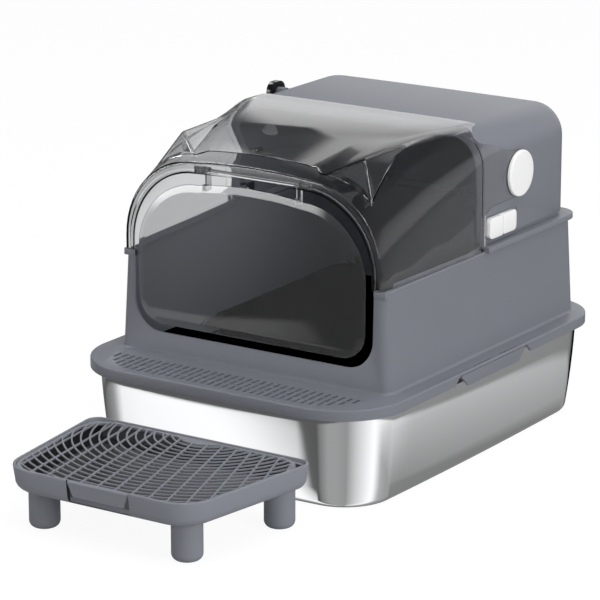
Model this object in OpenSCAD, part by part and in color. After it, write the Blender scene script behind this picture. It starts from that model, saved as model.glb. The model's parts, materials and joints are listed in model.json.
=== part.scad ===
// Enclosed litter box: a steel pan under a moulded frame, a rear hood with a flip-up clear
// cover and swing door, and a separate step with a lift-out grid.
// Millimetres. Origin at the centre of the pan's underside, X right, Y to the back, Z up.

/* [Pan] */
// Width of the pan across its wall at the rim
pan_w = 395.8; // [340:0.1:440]
// Depth of the pan across its wall at the rim
pan_d = 528.8; // [480:0.1:600]
// Height of the pan
pan_h = 118; // [90:1:150]
// How far each wall of the pan leans in towards the bottom
pan_draft = 10.1; // [6:0.1:16]
// Sheet thickness of the pan
pan_t = 0.8; // [0.6:0.1:1.5]
// Width of the pan's turned-out lip
lip_w = 4; // [3:0.1:5]
// Vertical corner radius of the pan at the rim
pan_r = 62; // [40:1:80]
// Radius between the pan's floor and walls
pan_floor_r = 8; // [5:0.5:14]

/* [Base frame] */
// Wall thickness of the moulded frame
frame_t = 3; // [2.5:0.1:4]
// Gap between the pan's lip and the frame's skirt at the sides
side_gap = 5.1; // [4.5:0.1:8]
// Gap between the pan's lip and the frame's skirt at the front
front_gap = 13.35; // [8:0.05:20]
// Gap between the pan's lip and the frame's skirt at the back
back_gap = 1; // [1:0.5:6]
// Height of the skirt that hangs from the flange
skirt_h = 13; // [11:0.5:16]
// Height of the flange's top above the pan's lip
flange_rise = 7; // [6:0.5:10]
// Width of the shelf in front of the enclosure
front_shelf = 87; // [70:1:100]
// Width of the shelf at each side of the enclosure
side_shelf = 22.5; // [18:0.5:30]
// Width of the shelf behind the enclosure
back_shelf = 31.3; // [25:0.1:40]
// Height of the enclosure wall above the flange
wall_h = 120; // [90:1:150]
// Lean of the enclosure's side walls
side_draft = 5.5; // [2:0.1:8]
// Lean of the enclosure's front and back walls
end_draft = 3; // [1:0.1:5]
// Outer corner radius of the flange at the front
flange_front_r = 85; // [50:1:100]
// Outer corner radius of the flange at the back
flange_back_r = 67; // [40:1:90]

/* [Doorway] */
// Width of the post at each side of the doorway
post_w = 16; // [12:0.5:24]
// Height of the doorway's sill above the flange
sill_h = 25; // [15:1:45]
// Radius of the doorway's lower corners
sill_r = 36; // [15:1:50]

/* [Shelf slots] */
// Spacing of the slots along the shelf
slot_pitch = 9.8; // [8:0.1:14]
// Width of one slot
slot_w = 4; // [2:0.1:5]
// Bridge between slots in one row
slot_bridge = 2.5; // [2:0.1:5]
// Distance of the slots from the doorway wall
slot_wall_gap = 27; // [15:1:32]
// Distance of the slots from the front edge of the shelf
slot_edge_gap = 13; // [10:1:25]

/* [Hood] */
// Height of the hood above the frame's top
hood_h = 143; // [110:1:170]
// Depth of the hood
hood_d = 212; // [180:1:240]
// Wall thickness of the hood
hood_t = 3; // [2.5:0.1:4]
// Radius of the hood's top side edges
hood_r = 40; // [30:1:50]
// Width of the flange round the hood's open front
hood_lip = 11.5; // [8:0.5:18]
// Inset of the neck under the hood
neck_in = 3; // [2:0.5:5]
// Height of the neck under the hood
neck_h = 5; // [4:0.5:8]

/* [Cover] */
// Wall thickness of the clear cover
cover_t = 2.5; // [2:0.1:3]
// Running gap between the cover and the hood
cover_gap = 0.5; // [0.5:0.1:1]
// How far the cover's roof reaches over the hood
cover_lap = 26; // [16:1:30]
// How far the cover's face stands in front of the doorway wall
cover_nose = 4; // [3:0.5:8]
// Width of the band round the arch at the sides
arch_band = 12; // [8:0.5:16]
// Width of the band over the arch
arch_head = 16; // [12:0.5:20]
// Wall radius of the ears' rounded edges
ear_r = 4; // [3:0.5:6]

/* [Pivot] */
// Distance of the pivot from the hood's front
pivot_back = 76.7; // [70:0.1:90]
// Depth of the pivot below the hood's top
pivot_drop = 63; // [58:1:75]
// Radius of the round cap
cap_r = 28; // [20:1:32]
// Thickness of the round cap
cap_t = 5; // [3:0.5:8]
// Diameter of the pivot stud
stud_d = 16; // [10:0.5:20]

/* [Door] */
// Thickness of the door panel
door_t = 2.5; // [2:0.1:3]
// Gap between the door and the doorway at each side
door_side_gap = 8; // [6:0.5:12]
// Gap between the door and the sill
door_sill_gap = 11; // [8:0.5:20]
// Gap between the door and the arch above it
door_top_gap = 9.5; // [9:0.5:14]
// Diameter of the hinge pin
pin_d = 3; // [2.5:0.1:4]
// Distance of each door arm from the middle
arm_x = 63; // [50:1:70]
// Width of a door arm
arm_w = 6; // [4:0.5:8]

/* [Latches and clips] */
// Length of the hood latch
latch_l = 63; // [55:1:66]
// Height of the hood latch
latch_h = 25; // [20:0.5:25]
// How far the latch stands out of the hood
latch_out = 5.5; // [4:0.5:7]
// Travel of the hood latch
latch_travel = 8; // [6:0.5:8]
// Length of the side clip along its lower edge
clip_l = 118; // [90:1:130]
// How far the side clip hangs below the skirt
clip_drop = 5.5; // [4:0.5:8]
// Diameter of the clip's pin
clip_pin_d = 1.6; // [1.4:0.1:1.8]

/* [Scoop] */
// Gap between the scoop's tip and the frame's flange
blade_gap = 5.8; // [4:0.1:12]
// Length of the scoop's blade
blade_l = 122; // [100:1:140]
// Width of the scoop's blade
blade_w = 120; // [90:1:130]
// Depth of the scoop's sides
blade_h = 20; // [15:1:24]
// Plastic thickness of the scoop
scoop_t = 2.5; // [2:0.1:3]
// Width of the hanging loop
loop_w = 31; // [24:1:34]
// Width of the slot in the loop
loop_slot = 14; // [10:1:16]

/* [Step] */
// Gap between the step and the box's flange
step_gap = 25.8; // [10:0.1:60]
// Sideways offset of the step
step_x = 10; // [-30:1:30]
// Depth of the step
step_d = 204.1; // [180:0.1:230]
// Width of the step at its front
step_front_w = 254; // [230:1:280]
// Width of the step at its back
step_back_w = 313; // [300:1:340]
// Height of the step's rim above the floor
step_h = 75.6; // [60:0.1:90]
// Depth of the step's tray
tray_h = 29.9; // [24:0.1:36]
// Wall thickness of the step's tray
tray_t = 3; // [2.5:0.1:4]
// Corner radius of the step at its front
step_front_r = 39; // [25:1:45]
// Corner radius of the step at its back
step_back_r = 15; // [10:1:25]
// Radius of a leg
leg_r = 17.7; // [14:0.1:20]
// Width of the pull tab at its top
tab_w = 82; // [60:1:90]
// Spacing of the grid's long bars
grid_pitch = 21; // [14:0.5:26]
// Spacing of the grid's arcs
arc_pitch = 17; // [14:0.5:26]
// Width of one grid bar
grid_bar = 2.4; // [2:0.1:3]

/* [Clearances] */
// Gap between a piece and its seat
seat = 0.3; // [0.2:0.05:0.4]
// Radial clearance of a running fit
run = 0.05; // [0.03:0.01:0.1]
// Gap round the step's grid
grid_gap = 0.6; // [0.4:0.1:1]

/* [Hidden] */
$fn = 48;

eps = 0.01;              // overlap that joins two solids of one piece
far = 60;                // reach of a cut past the surface it clears
over = 1;                // overshoot of a cut where more would clip a neighbour
corner_steps = 8;        // chords in one rounded corner

// Colours
steel_c = "#c9ccce";
grey_c = "#7b7e86";
clear_c = "#6f7478";
white_c = "#fafafa";
black_c = "#1c1c1e";

// Flange and skirt
half_w = pan_w / 2 + lip_w + side_gap + frame_t;
front_y = -(pan_d / 2 + lip_w + front_gap + frame_t);
back_y = pan_d / 2 + lip_w + back_gap + frame_t;
flange_z = pan_h + flange_rise;
plate_z = flange_z - frame_t;
skirt_z = flange_z - skirt_h;

rib_in = 1;              // the rib on the pan's lip stands in from the lip's edges
rib_r = 2;

// Enclosure wall at its foot and at its top
foot_hw = half_w - side_shelf;
foot_front = front_y + front_shelf;
foot_back = back_y - back_shelf;
top_hw = foot_hw - side_draft;
top_front = foot_front + end_draft;
top_back = foot_back - end_draft;
top_z = flange_z + wall_h;
wall_front_r = 12;
wall_back_r = 20;
door_hw = top_hw - post_w;
sill_z = flange_z + sill_h;
post_cap = [8, 8];       // depth and height of the cap on a post
cap_proud = 1;           // how far the cap stands in front of the wall
ledge_w = 9;             // width of the ledge inside the wall's top
lip_t = 2;               // upstand that locates the cover
lip_h = 5;
lip_from = 25;           // the upstand's distance from the front wall and from the rim
lip_to = 5;

// Cover and hood widths
cover_proud = 0.5;       // how far the cover stands proud of the wall's top
hood_step = 3.1;         // how far the hood's back stands in from the wall's top
cover_hw = top_hw + cover_proud;
hood_hw = cover_hw - cover_t - cover_gap;
hood_back = top_back - hood_step;
hood_front = hood_back - hood_d;
hood_top = top_z + hood_h;
hood_back_r = 35;        // vertical corners at the back
hood_heel_r = 20;        // top edge at the back
hood_open_r = 35;
hood_crown = 0.5;
lip_ease = 1.5;          // the flange is narrower at the top of the opening
lip_top = hood_lip - lip_ease;

// Rim that carries the hood
rim_out = 6;
rim_hw = top_hw + rim_out;
rim_z = top_z + neck_h;
rim_drop = 7;
rim_in = 14;             // reach of the rim inside the enclosure wall
rim_front = hood_front + seat;
neck_hw = hood_hw - neck_in;
neck_back = hood_back - neck_in;
neck_in_hw = neck_hw - hood_t;
neck_in_back = neck_back - hood_t;
guide_t = 2;             // upstand inside the hood's neck
guide_h = 5;
guide_set = 7;           // how far the guide stands behind the rim's front
guide_r = hood_back_r - neck_in - hood_t - seat;
hood_z = rim_z + neck_h;

// Pivot
pivot_y = hood_front + pivot_back;
pivot_z = hood_top - pivot_drop;
cap_edge = 2;            // radius of the cap's edge
nut_r = 15;
nut_t = 4;

// Cover: face, arch and roof
cover_front = top_front - cover_nose;
cover_z = top_z + seat;
roof_gap = 1.5;          // gap between the cover's roof and the hood's top
cover_top = hood_top + roof_gap + cover_t;
cover_l = hood_front - cover_front;
// Cross-sections: share of the length, side inset, top drop, corner radius, crown
sections = [
    [0, 5, 25, 100, 4], [0.12, 3.5, 18.5, 95, 3], [0.47, 1.5, 5, 80, 2],
    [0.81, 0.3, 1, 60, 1], [1, 0, 0, 42, 0.5]
];
face_round = 2.5;
arch_hw = cover_hw - sections[0][1] - arch_band;
arch_top = cover_top - sections[0][2] - arch_head;
arch_r = 90;
arch_crown = 2;

// Ear corners: inner front, tip, outer front, tail
ear_pts = [
    [86, 17, 6.5], [125, 47, -13], [146, 29, 27], [123.5, 126, -7]
];

// Neck of the cover, as distances from the hood's front and from the pivot: up to the pivot from
// below, and from the pivot up to the roof
neck_low = [[0, -36], [14, -29], [49, -cap_r]];
neck_high = [
    [53, 31], [24, 43], [6, 47], [-3, 51], [-5, 55], [-1, 60], [10, 63.5], [cover_lap, 65]
];
wing_play = 0.03;        // extra clearance of the cover on its studs

// Door
panel_hw = door_hw - door_side_gap;
panel_z = sill_z + door_sill_gap;
panel_top = arch_top - door_top_gap;
door_proud = 2;          // how far the panel stands in front of the cover
panel_y = cover_front - door_proud;
panel_low_r = 34;
panel_top_r = 85;
panel_crown = 5.5;
axis_set = [8, 3];       // the axis behind the cover's face and above the arch
axis_y = cover_front + axis_set.x;
axis_z = arch_top + axis_set.y;
barrel_t = 2;
barrel_r = pin_d / 2 + barrel_t;
arm_t = 4;
arm_foot = 11.5;
boss_l = 12;
boss_t = 2.6;
boss_r = pin_d / 2 + boss_t;

// Hood latch
latch_set = [7, 3];      // the latch behind the hood's front and above its foot
latch_y = hood_front + latch_set.x;
latch_z = hood_z + latch_set.y;
latch_t = 2.8;
latch_groove = 3;
latch_r = 6;
latch_groove_r = 2;
latch_step = 0.7;        // the latch's back half is this much lower
pocket_d = 1.2;
pocket_gap = 1.5;
stem = [10, 8];          // along Y and Z
stem_set = [15, -3];     // the stem from the latch's front and from its middle
stem_y = latch_y + stem_set.x;
stem_z = latch_z + latch_h / 2 + stem_set.y;
rivet_d = 4;
plate_t = 2.5;
plate_l = 34;
plate_h = 13;
plate_set = 1;           // the plate starts this far behind the latch's front
plate_back = 0.2;        // gap between the plate and the hood's wall
keeper_l = 10;
keeper_t = 3;
keeper_set = 1;          // the keeper starts this far in front of the latch

// Side clip
clip_y = 1;
clip_barrel_r = 1.9;
clip_x = half_w - clip_barrel_r;
clip_z = plate_z - seat - clip_barrel_r;
clip_t = 2.7;
clip_side = 16;          // how far the clip's top is longer at each end than its foot
clip_play = 1;
hook_under = 2.7;        // how far the hook reaches under the pan's lip
hook_reach = half_w - (pan_w / 2 + lip_w) + hook_under;
hook_t = 3.4;
hook_l = 60;
pad_t = 5;               // skirt thickness beside the clip
pad_l = 12;
pin_short = 3;           // the pin ends this far inside the pads, in a bore that is longer
bore_short = 2;
slit_w = 2.2;
slit_l = 40;
slit_x = 2.2;            // distance of the slits from the flange's edge
slit_y = [-42, 17];      // where they start, from the clip's middle
clip_vee = 11;           // how far the skirt is cut back beside the clip's foot
clip_slope = clip_side / (plate_z - skirt_z + clip_drop);

// Scoop and its hook
scoop_share = 0.6;       // place of the scoop along the hood
scoop_y = hood_front + hood_d * scoop_share;
peg_r = 4;
peg_drop = 18;           // depth of the peg below the hood's top
peg_z = hood_top - peg_drop;
peg_out = 26.5;
hook_w = 20;
hook_plate_h = 30;
hook_collar = 2;
loop_top = peg_z + peg_r + seat + (loop_w - loop_slot) / 2;
loop_out = 15.5;         // gap between the hood and the scoop
loop_x = hood_hw + loop_out;
loop_r = [8, 8, 12, 12]; // corners of the loop and of its slot, from the bottom
slot_r = [4, 4, 3, 3];
loop_h = 70;
slot_h = 36;
handle_w = 22;
handle_t = 8;
scoop_slot = [4, 40];
scoop_slots = 7;
scoop_row_z = 14;        // height of the lower slots above the blade's tip
scoop_row_gap = 8;
scoop_margin = 16;       // width of the blade without slots

// Step
step_back_y = front_y - step_gap;
step_front_y = step_back_y - step_d;
tray_z = step_h - tray_h;
ledge_drop = 4.6;
ledge_t = 4;
grid_t = 3;
grid_z = step_h - ledge_drop;
grid_rim = 7;
leg_foot_r = 8;
spigot_r = 6;
leg_front_in = [35, 37.4]; // legs' centres from the tray's side and front, and from its side and back
leg_back_in = [32, 23];
tab_off = 4;             // sideways offset of the pull tab from the tray's middle
tab_h = 18;
tab_gap = 1;             // gap at each side of the pull tab
recess_foot = 1;         // height left of the tray's wall under the tab
tab_lean = 7;
bar_lean = 13.5;         // lean of the grid's middle long bar
bar_fan = 1.1;           // turn from one long bar to the next
arc_back = 18;           // the arcs' centre lies this far behind the step
arc_y = step_back_y + arc_back;
arc_r = 38;              // solid tongue at the middle of the arcs
arc_front = step_d + arc_back;

function unit(v) = v / norm(v);

// Arc that rounds the corner p between its neighbours a and b
function corner_arc(p, a, b, r) =
    let (
        u = unit(a - p),
        v = unit(b - p),
        half = acos(u * v) / 2,
        c = p + unit(u + v) * r / sin(half),
        s = p + u * r / tan(half) - c,
        e = p + v * r / tan(half) - c,
        a0 = atan2(s.y, s.x),
        turn = (atan2(e.y, e.x) - a0 + 540) % 360 - 180
    )
    [for (i = [0:corner_steps]) let (a = a0 + turn * i / corner_steps) c + r * [cos(a), sin(a)]];

// Outline through pts with one radius at each corner
function rounded(pts, radii) =
    let (n = len(pts))
    [for (i = [0:n - 1]) each corner_arc(pts[i], pts[(i + n - 1) % n], pts[(i + 1) % n], radii[i])];

// Rectangle from front to back, with a radius for the front and for the back corners
function plan(hw, front, back, front_r, back_r) =
    rounded([[-hw, front], [hw, front], [hw, back], [-hw, back]], [front_r, front_r, back_r, back_r]);

// Arch in X and Z: straight sides from z0, corner radius r and a crowned top
function arch(hw, z0, top, r, crown) =
    let (cx = hw - r, cz = top - crown - r, n = corner_steps)
    concat(
        [[-hw, z0], [hw, z0]],
        [for (i = [0:n]) [cx + r * cos(90 * i / n), cz + r * sin(90 * i / n)]],
        [for (s = [0.5, 0, -0.5]) [cx * s, top - crown * s * s]],
        [for (i = [0:n]) [-cx - r * sin(90 * i / n), cz + r * cos(90 * i / n)]]
    );

function ring_at_z(pts, z) = [for (p = pts) [p.x, p.y, z]];

function ring_at_y(pts, y) = [for (i = [len(pts) - 1:-1:0]) [pts[i].x, y, pts[i].y]];

// Solid skinned over rings that have the same number of points
module loft(rings) {
    n = len(rings[0]);
    last = n * (len(rings) - 1);
    sides = [
        for (j = [0:n:last - n], i = [0:n - 1])
            let (a = j + i, b = j + (i + 1) % n)
            each [[a, b + n, b], [a, a + n, b + n]]
    ];
    polyhedron(
        [for (ring = rings) each ring],
        concat([[for (i = [0:n - 1]) i]], sides, [[for (i = [n - 1:-1:0]) last + i]])
    );
}

// Prism of a Y-Z outline, from x0 to x1
module prism_x(pts, x0, x1) {
    translate([x0, 0, 0]) rotate([90, 0, 90]) linear_extrude(x1 - x0) polygon(pts);
}

// Prism of an X-Z outline, from y0 to y1
module prism_y(pts, y0, y1) {
    translate([0, y1, 0]) rotate([90, 0, 0]) linear_extrude(y1 - y0) polygon(pts);
}

module ring_z(outer, inner, z0, z1) {
    translate([0, 0, z0]) linear_extrude(z1 - z0) difference() {
        polygon(outer);
        polygon(inner);
    }
}

module rod_x(r, x0, x1, y, z) {
    translate([x0, y, z]) rotate([0, 90, 0]) cylinder(r = r, h = x1 - x0);
}

module rod_y(r, y0, y1, x, z) {
    translate([x, y0, z]) rotate([-90, 0, 0]) cylinder(r = r, h = y1 - y0);
}

// Draws its children at the right side, or mirrored to the left
module on_side(side) {
    if (side > 0) children();
    else mirror([1, 0, 0]) children();
}

module both_sides() {
    for (side = [-1, 1]) on_side(side) children();
}

// ---- Pan

function pan_outline(z, inset) =
    let (d = pan_draft * (1 - z / pan_h) + inset, r = pan_r - d / 2 - inset / 2)
    plan(pan_w / 2 - d, -pan_d / 2 + d, pan_d / 2 - d, r, r);

module pan_block(inset, z0, z1) {
    floor_rings = [
        for (a = [0:22.5:90])
            let (z = z0 + pan_floor_r * (1 - cos(a)))
            ring_at_z(pan_outline(z, inset + pan_floor_r * (1 - sin(a))), z)
    ];
    loft(concat(floor_rings, [ring_at_z(pan_outline(z1, inset), z1)]));
}

module pan() {
    lip = plan(pan_w / 2 + lip_w, -pan_d / 2 - lip_w, pan_d / 2 + lip_w, pan_r + lip_w, pan_r + lip_w);
    color(steel_c) difference() {
        union() {
            pan_block(0, 0, pan_h);
            translate([0, 0, pan_h - pan_t]) linear_extrude(pan_t) polygon(lip);
        }
        pan_block(pan_t, pan_t, pan_h + pan_t);
    }
}

// ---- Base frame

function flange_outline(inset) =
    plan(half_w - inset, front_y + inset, back_y - inset, flange_front_r - inset, flange_back_r - inset);

// Wall outline at a share s of the wall's height
function wall_outline(s, inset) =
    plan(
        foot_hw - side_draft * s - inset, foot_front + end_draft * s + inset,
        foot_back - end_draft * s - inset, wall_front_r - inset, wall_back_r - inset
    );

module wall_block(inset, z0, z1) {
    s0 = (z0 - flange_z) / wall_h;
    s1 = (z1 - flange_z) / wall_h;
    loft([ring_at_z(wall_outline(s0, inset), z0), ring_at_z(wall_outline(s1, inset), z1)]);
}

// Slotted area of the shelf, and its front end at x
slot_side_gap = 14;
slot_hw = foot_hw - slot_side_gap;
slot_corner = 60;
slot_back = foot_front - slot_wall_gap;
slot_aim = 15;           // length that the slots in one row come near

function slot_front(x) =
    let (dx = max(0, abs(x) - (slot_hw - slot_corner)))
    front_y + slot_edge_gap + slot_corner - sqrt(slot_corner * slot_corner - dx * dx);

module shelf_slots() {
    n = floor((slot_hw - slot_w) / slot_pitch);
    for (i = [-n:n]) {
        x = i * slot_pitch;
        run_l = slot_back - slot_front(x);
        count = max(1, round(run_l / slot_aim));
        slot_l = (run_l + slot_bridge) / count - slot_bridge;
        if (slot_l > slot_w)
            for (k = [0:count - 1])
                translate([x - slot_w / 2, slot_back - slot_l - k * (slot_l + slot_bridge), plate_z])
                    cube([slot_w, slot_l, far]);
    }
}

module doorway_cut() {
    pts = rounded(
        [[-door_hw, sill_z], [door_hw, sill_z], [door_hw, top_z + far], [-door_hw, top_z + far]],
        [sill_r, sill_r, sill_r, sill_r]
    );
    prism_y(pts, foot_front - far, top_front + far);
}

// Ledge and upstand on the enclosure's side walls, under the cover
module cover_ledge() {
    translate([top_hw - ledge_w, top_front, top_z - frame_t])
        cube([ledge_w, rim_front - top_front, frame_t]);
    translate([top_hw - ledge_w, top_front + lip_from, top_z])
        cube([lip_t, rim_front - top_front - lip_from - lip_to, lip_h]);
}

module post_cap() {
    translate([door_hw, top_front - cap_proud, top_z - post_cap.y])
        cube([post_w, post_cap.x, post_cap.y]);
}

// Rim behind the cover, with the guide that locates the hood
module hood_rim() {
    rim_back = top_back + rim_out;
    outer = plan(rim_hw, rim_front - far, rim_back, wall_back_r, wall_back_r + rim_out);
    lower = plan(rim_hw - frame_t, rim_front - far, rim_back - frame_t, wall_back_r, wall_back_r + frame_t);
    inner = plan(top_hw - rim_in, rim_front - 2 * far, top_back - rim_in, wall_back_r, wall_back_r);
    guide = plan(neck_in_hw - seat, rim_front - far, neck_in_back - seat, guide_r, guide_r);
    guide_in = plan(
        neck_in_hw - seat - guide_t, rim_front - 2 * far, neck_in_back - seat - guide_t,
        guide_r, guide_r - guide_t
    );
    difference() {
        union() {
            ring_z(outer, inner, rim_z - frame_t, rim_z);
            ring_z(outer, lower, rim_z - rim_drop, rim_z - frame_t + eps);
            ring_z(wall_outline(1, 0), wall_outline(1, frame_t), top_z - eps, rim_z - frame_t + eps);
        }
        translate([-half_w, front_y, 0]) cube([2 * half_w, rim_front - front_y, 2 * top_z]);
    }
    difference() {
        ring_z(guide, guide_in, rim_z - eps, rim_z + guide_h);
        translate([-half_w, front_y, 0]) cube([2 * half_w, rim_front + guide_set - front_y, 2 * top_z]);
    }
}

// Post with an overhanging bar that the latch plate slides under
module keeper() {
    x1 = hood_hw - hood_t - seat;
    x0 = neck_in_hw - seat - guide_t - keeper_t;
    z1 = stem_z + plate_h / 2 + seat;
    translate([x0, latch_y - keeper_set, rim_z - frame_t])
        cube([keeper_t, keeper_l, z1 + keeper_t - rim_z + frame_t]);
    translate([x0, latch_y - keeper_set, z1]) cube([x1 - x0, keeper_l, keeper_t]);
}

// Side profile of the clip
function clip_outline() =
    let (l = clip_l / 2, low = skirt_z - clip_drop)
    [
        [clip_y - l, low], [clip_y + l, low], [clip_y + l + clip_side, plate_z],
        [clip_y - l - clip_side, plate_z]
    ];

// Opening in the skirt round the clip, wider at the bottom
function clip_opening() =
    let (l = clip_l / 2 + clip_side + clip_play)
    [
        [clip_y - l - clip_vee, skirt_z - over], [clip_y + l + clip_vee, skirt_z - over],
        [clip_y + l, plate_z], [clip_y - l, plate_z]
    ];

module clip_pads() {
    l = clip_l / 2 + clip_side + clip_play + pad_l;
    translate([half_w - pad_t, clip_y - l, skirt_z]) cube([pad_t, 2 * l, plate_z - skirt_z + eps]);
}

module clip_cuts() {
    l = clip_l / 2 + clip_side + clip_play;
    bore_l = pad_l - bore_short;
    prism_x(clip_opening(), half_w - pad_t - over, half_w + far);
    rod_y(clip_pin_d / 2 + run, clip_y - l - bore_l, clip_y + l + bore_l, clip_x, clip_z);
    for (y = slit_y)
        translate([half_w - slit_x - slit_w, clip_y + y, plate_z - eps])
            cube([slit_w, slit_l, frame_t + over]);
}

module base_frame() {
    out = lip_w - rib_in;
    rib = plan(pan_w / 2 + out, -pan_d / 2 - out, pan_d / 2 + out, pan_r + rib_r, pan_r + rib_r);
    rib_hole = plan(
        pan_w / 2 - rib_in, -pan_d / 2 + rib_in, pan_d / 2 - rib_in, pan_r - rib_r, pan_r - rib_r
    );
    color(grey_c) difference() {
        union() {
            difference() {
                union() {
                    translate([0, 0, plate_z]) linear_extrude(frame_t) polygon(flange_outline(0));
                    wall_block(0, plate_z, top_z);
                    hood_rim();
                }
                wall_block(frame_t, plate_z - over, top_z - frame_t);
                translate([0, 0, top_z - frame_t - over]) linear_extrude(frame_t + over + eps)
                    polygon(wall_outline(1, frame_t));
                doorway_cut();
            }
            ring_z(flange_outline(0), flange_outline(frame_t), skirt_z, plate_z + eps);
            ring_z(rib, rib_hole, pan_h, plate_z + eps);
            hood_rim();
            both_sides() {
                cover_ledge();
                post_cap();
                keeper();
                clip_pads();
            }
        }
        shelf_slots();
        both_sides() clip_cuts();
    }
}

// ---- Hood

function hood_section(side, heel, inset) =
    arch(
        hood_hw - side - inset, hood_z - far * sign(inset), hood_top - heel - inset,
        hood_r - inset - side / 2, hood_crown
    );

module hood_block(inset) {
    back_rings = [
        for (a = [0:22.5:90])
            let (side = hood_back_r * (1 - cos(a)), heel = hood_heel_r * (1 - cos(a)))
            ring_at_y(
                hood_section(side, heel, inset),
                hood_back - hood_back_r + (hood_back_r - inset) * sin(a)
            )
    ];
    front_ring = ring_at_y(hood_section(0, 0, inset), hood_front - far * sign(inset));
    loft(concat([front_ring], back_rings));
}

module hood_neck_ring() {
    r = hood_back_r - neck_in;
    outer = plan(neck_hw, hood_front - far, neck_back, r, r);
    inner = plan(neck_in_hw, hood_front - 2 * far, neck_in_back, r, r - hood_t);
    difference() {
        ring_z(outer, inner, rim_z, hood_z + hood_t);
        translate([-half_w, front_y, 0]) cube([2 * half_w, hood_front - front_y, 2 * top_z]);
    }
}

module rear_hood() {
    outline = hood_section(0, 0, 0);
    opening = arch(hood_hw - hood_lip, hood_z - far, hood_top - lip_top, hood_open_r, hood_crown);
    bore = stud_d / 2 + run;
    color(grey_c) difference() {
        union() {
            difference() {
                hood_block(0);
                hood_block(hood_t);
            }
            difference() {
                prism_y(outline, hood_front, hood_front + hood_t);
                prism_y(opening, hood_front - far, hood_front + far);
            }
            difference() {
                hood_neck_ring();
                prism_y(opening, hood_front - far, hood_front + hood_t + eps);
            }
        }
        rod_x(bore, -half_w, half_w, pivot_y, pivot_z);
        both_sides() {
            translate([hood_hw - pocket_d, latch_y - pocket_gap, latch_z - pocket_gap])
                cube([far, latch_l + latch_travel + 2 * pocket_gap, latch_h + 2 * pocket_gap]);
            translate([hood_hw - 2 * hood_t, stem_y - seat, stem_z - stem.y / 2 - seat])
                cube([far, stem.x + latch_travel + 2 * seat, stem.y + 2 * seat]);
        }
    }
}

// ---- Cover

function cover_section(k, inset, extra) =
    let (s = sections[k])
    arch(
        cover_hw - s[1] - inset - extra, cover_z - far * sign(inset), cover_top - s[2] - inset - extra,
        s[3] - inset, s[4]
    );

module cover_block(inset) {
    last = len(sections) - 1;
    loft(concat(
        [ring_at_y(cover_section(0, inset, face_round), cover_front + inset)],
        [ring_at_y(cover_section(0, inset, 0), cover_front + inset + face_round)],
        [for (k = [1:last]) ring_at_y(cover_section(k, inset, 0), cover_front + cover_l * sections[k][0])],
        [ring_at_y(cover_section(last, inset, 0), pivot_y + 2 * cap_r)]
    ));
}

// Rounded three-sided ear; grow is the radius of its edges
module ear(grow) {
    hull() {
        for (p = ear_pts)
            translate([p.x, cover_front + p.y, cover_top - sections[0][2] - p.z]) sphere(r = grow, $fn = 16);
    }
}

// Side view of the cover: the canopy, the neck to the pivot and the round end
module cover_side() {
    origin = [hood_front, pivot_z];
    canopy = concat(
        [[cover_front - over, cover_z], [hood_front, cover_z]],
        [for (p = neck_low) origin + p],
        [[pivot_y, pivot_z - cap_r], [pivot_y, pivot_z + cap_r]],
        [for (p = neck_high) origin + p],
        [[hood_front + cover_lap, cover_top + far], [cover_front - over, cover_top + far]]
    );
    prism_x(canopy, -half_w, half_w);
    rod_x(cap_r, -half_w, half_w, pivot_y, pivot_z);
}

module hinge_boss() {
    x0 = arm_x + arm_w / 2 + seat;
    rod_x(boss_r, x0, x0 + boss_l, axis_y, axis_z);
    translate([x0, cover_front + cover_t - eps, axis_z - boss_r])
        cube([boss_l, axis_y - cover_front - cover_t, 2 * boss_r]);
}

module flip_cover() {
    opening = arch(arch_hw, cover_z - far, arch_top, arch_r, arch_crown);
    color(clear_c, 0.5) difference() {
        union() {
            intersection() {
                difference() {
                    union() {
                        cover_block(0);
                        both_sides() ear(ear_r);
                    }
                    cover_block(cover_t);
                    both_sides() ear(ear_r - cover_t);
                    prism_y(opening, cover_front - far, cover_front + cover_t + over);
                }
                cover_side();
            }
            both_sides() hinge_boss();
        }
        rod_x(stud_d / 2 + run + wing_play, -half_w, half_w, pivot_y, pivot_z);
        rod_x(pin_d / 2 + run, -half_w / 2, half_w / 2, axis_y, axis_z);
    }
}

// ---- Door

function door_outline() =
    let (
        top = arch(panel_hw, 0, panel_top, panel_top_r, panel_crown),
        hw = panel_hw - panel_low_r,
        z = panel_z + panel_low_r,
        n = corner_steps
    )
    concat(
        [for (i = [0:n]) [-hw - panel_low_r * cos(90 * i / n), z - panel_low_r * sin(90 * i / n)]],
        [for (i = [0:n]) [hw + panel_low_r * sin(90 * i / n), z - panel_low_r * cos(90 * i / n)]],
        [for (i = [2:len(top) - 1]) top[i]]
    );

module door_arm() {
    top = panel_top - panel_crown / 4;
    pts = [
        [panel_y + door_t - eps, top - arm_foot], [axis_y + arm_t / 2, top - arm_foot],
        [axis_y + arm_t / 2, axis_z], [axis_y - arm_t / 2, axis_z],
        [axis_y - arm_t / 2, top], [panel_y + door_t - eps, top]
    ];
    prism_x(pts, arm_x - arm_w / 2, arm_x + arm_w / 2);
    rod_x(barrel_r, arm_x - arm_w / 2, arm_x + arm_w / 2, axis_y, axis_z);
}

module door_flap() {
    color(clear_c, 0.5) difference() {
        union() {
            prism_y(door_outline(), panel_y, panel_y + door_t);
            both_sides() door_arm();
        }
        rod_x(pin_d / 2 + run, -half_w / 2, half_w / 2, axis_y, axis_z);
    }
}

module door_hinge_pin() {
    l = arm_x + arm_w / 2 + seat + boss_l;
    color(steel_c) rod_x(pin_d / 2, -l, l, axis_y, axis_z);
}

// ---- Pivot caps and nuts

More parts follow.
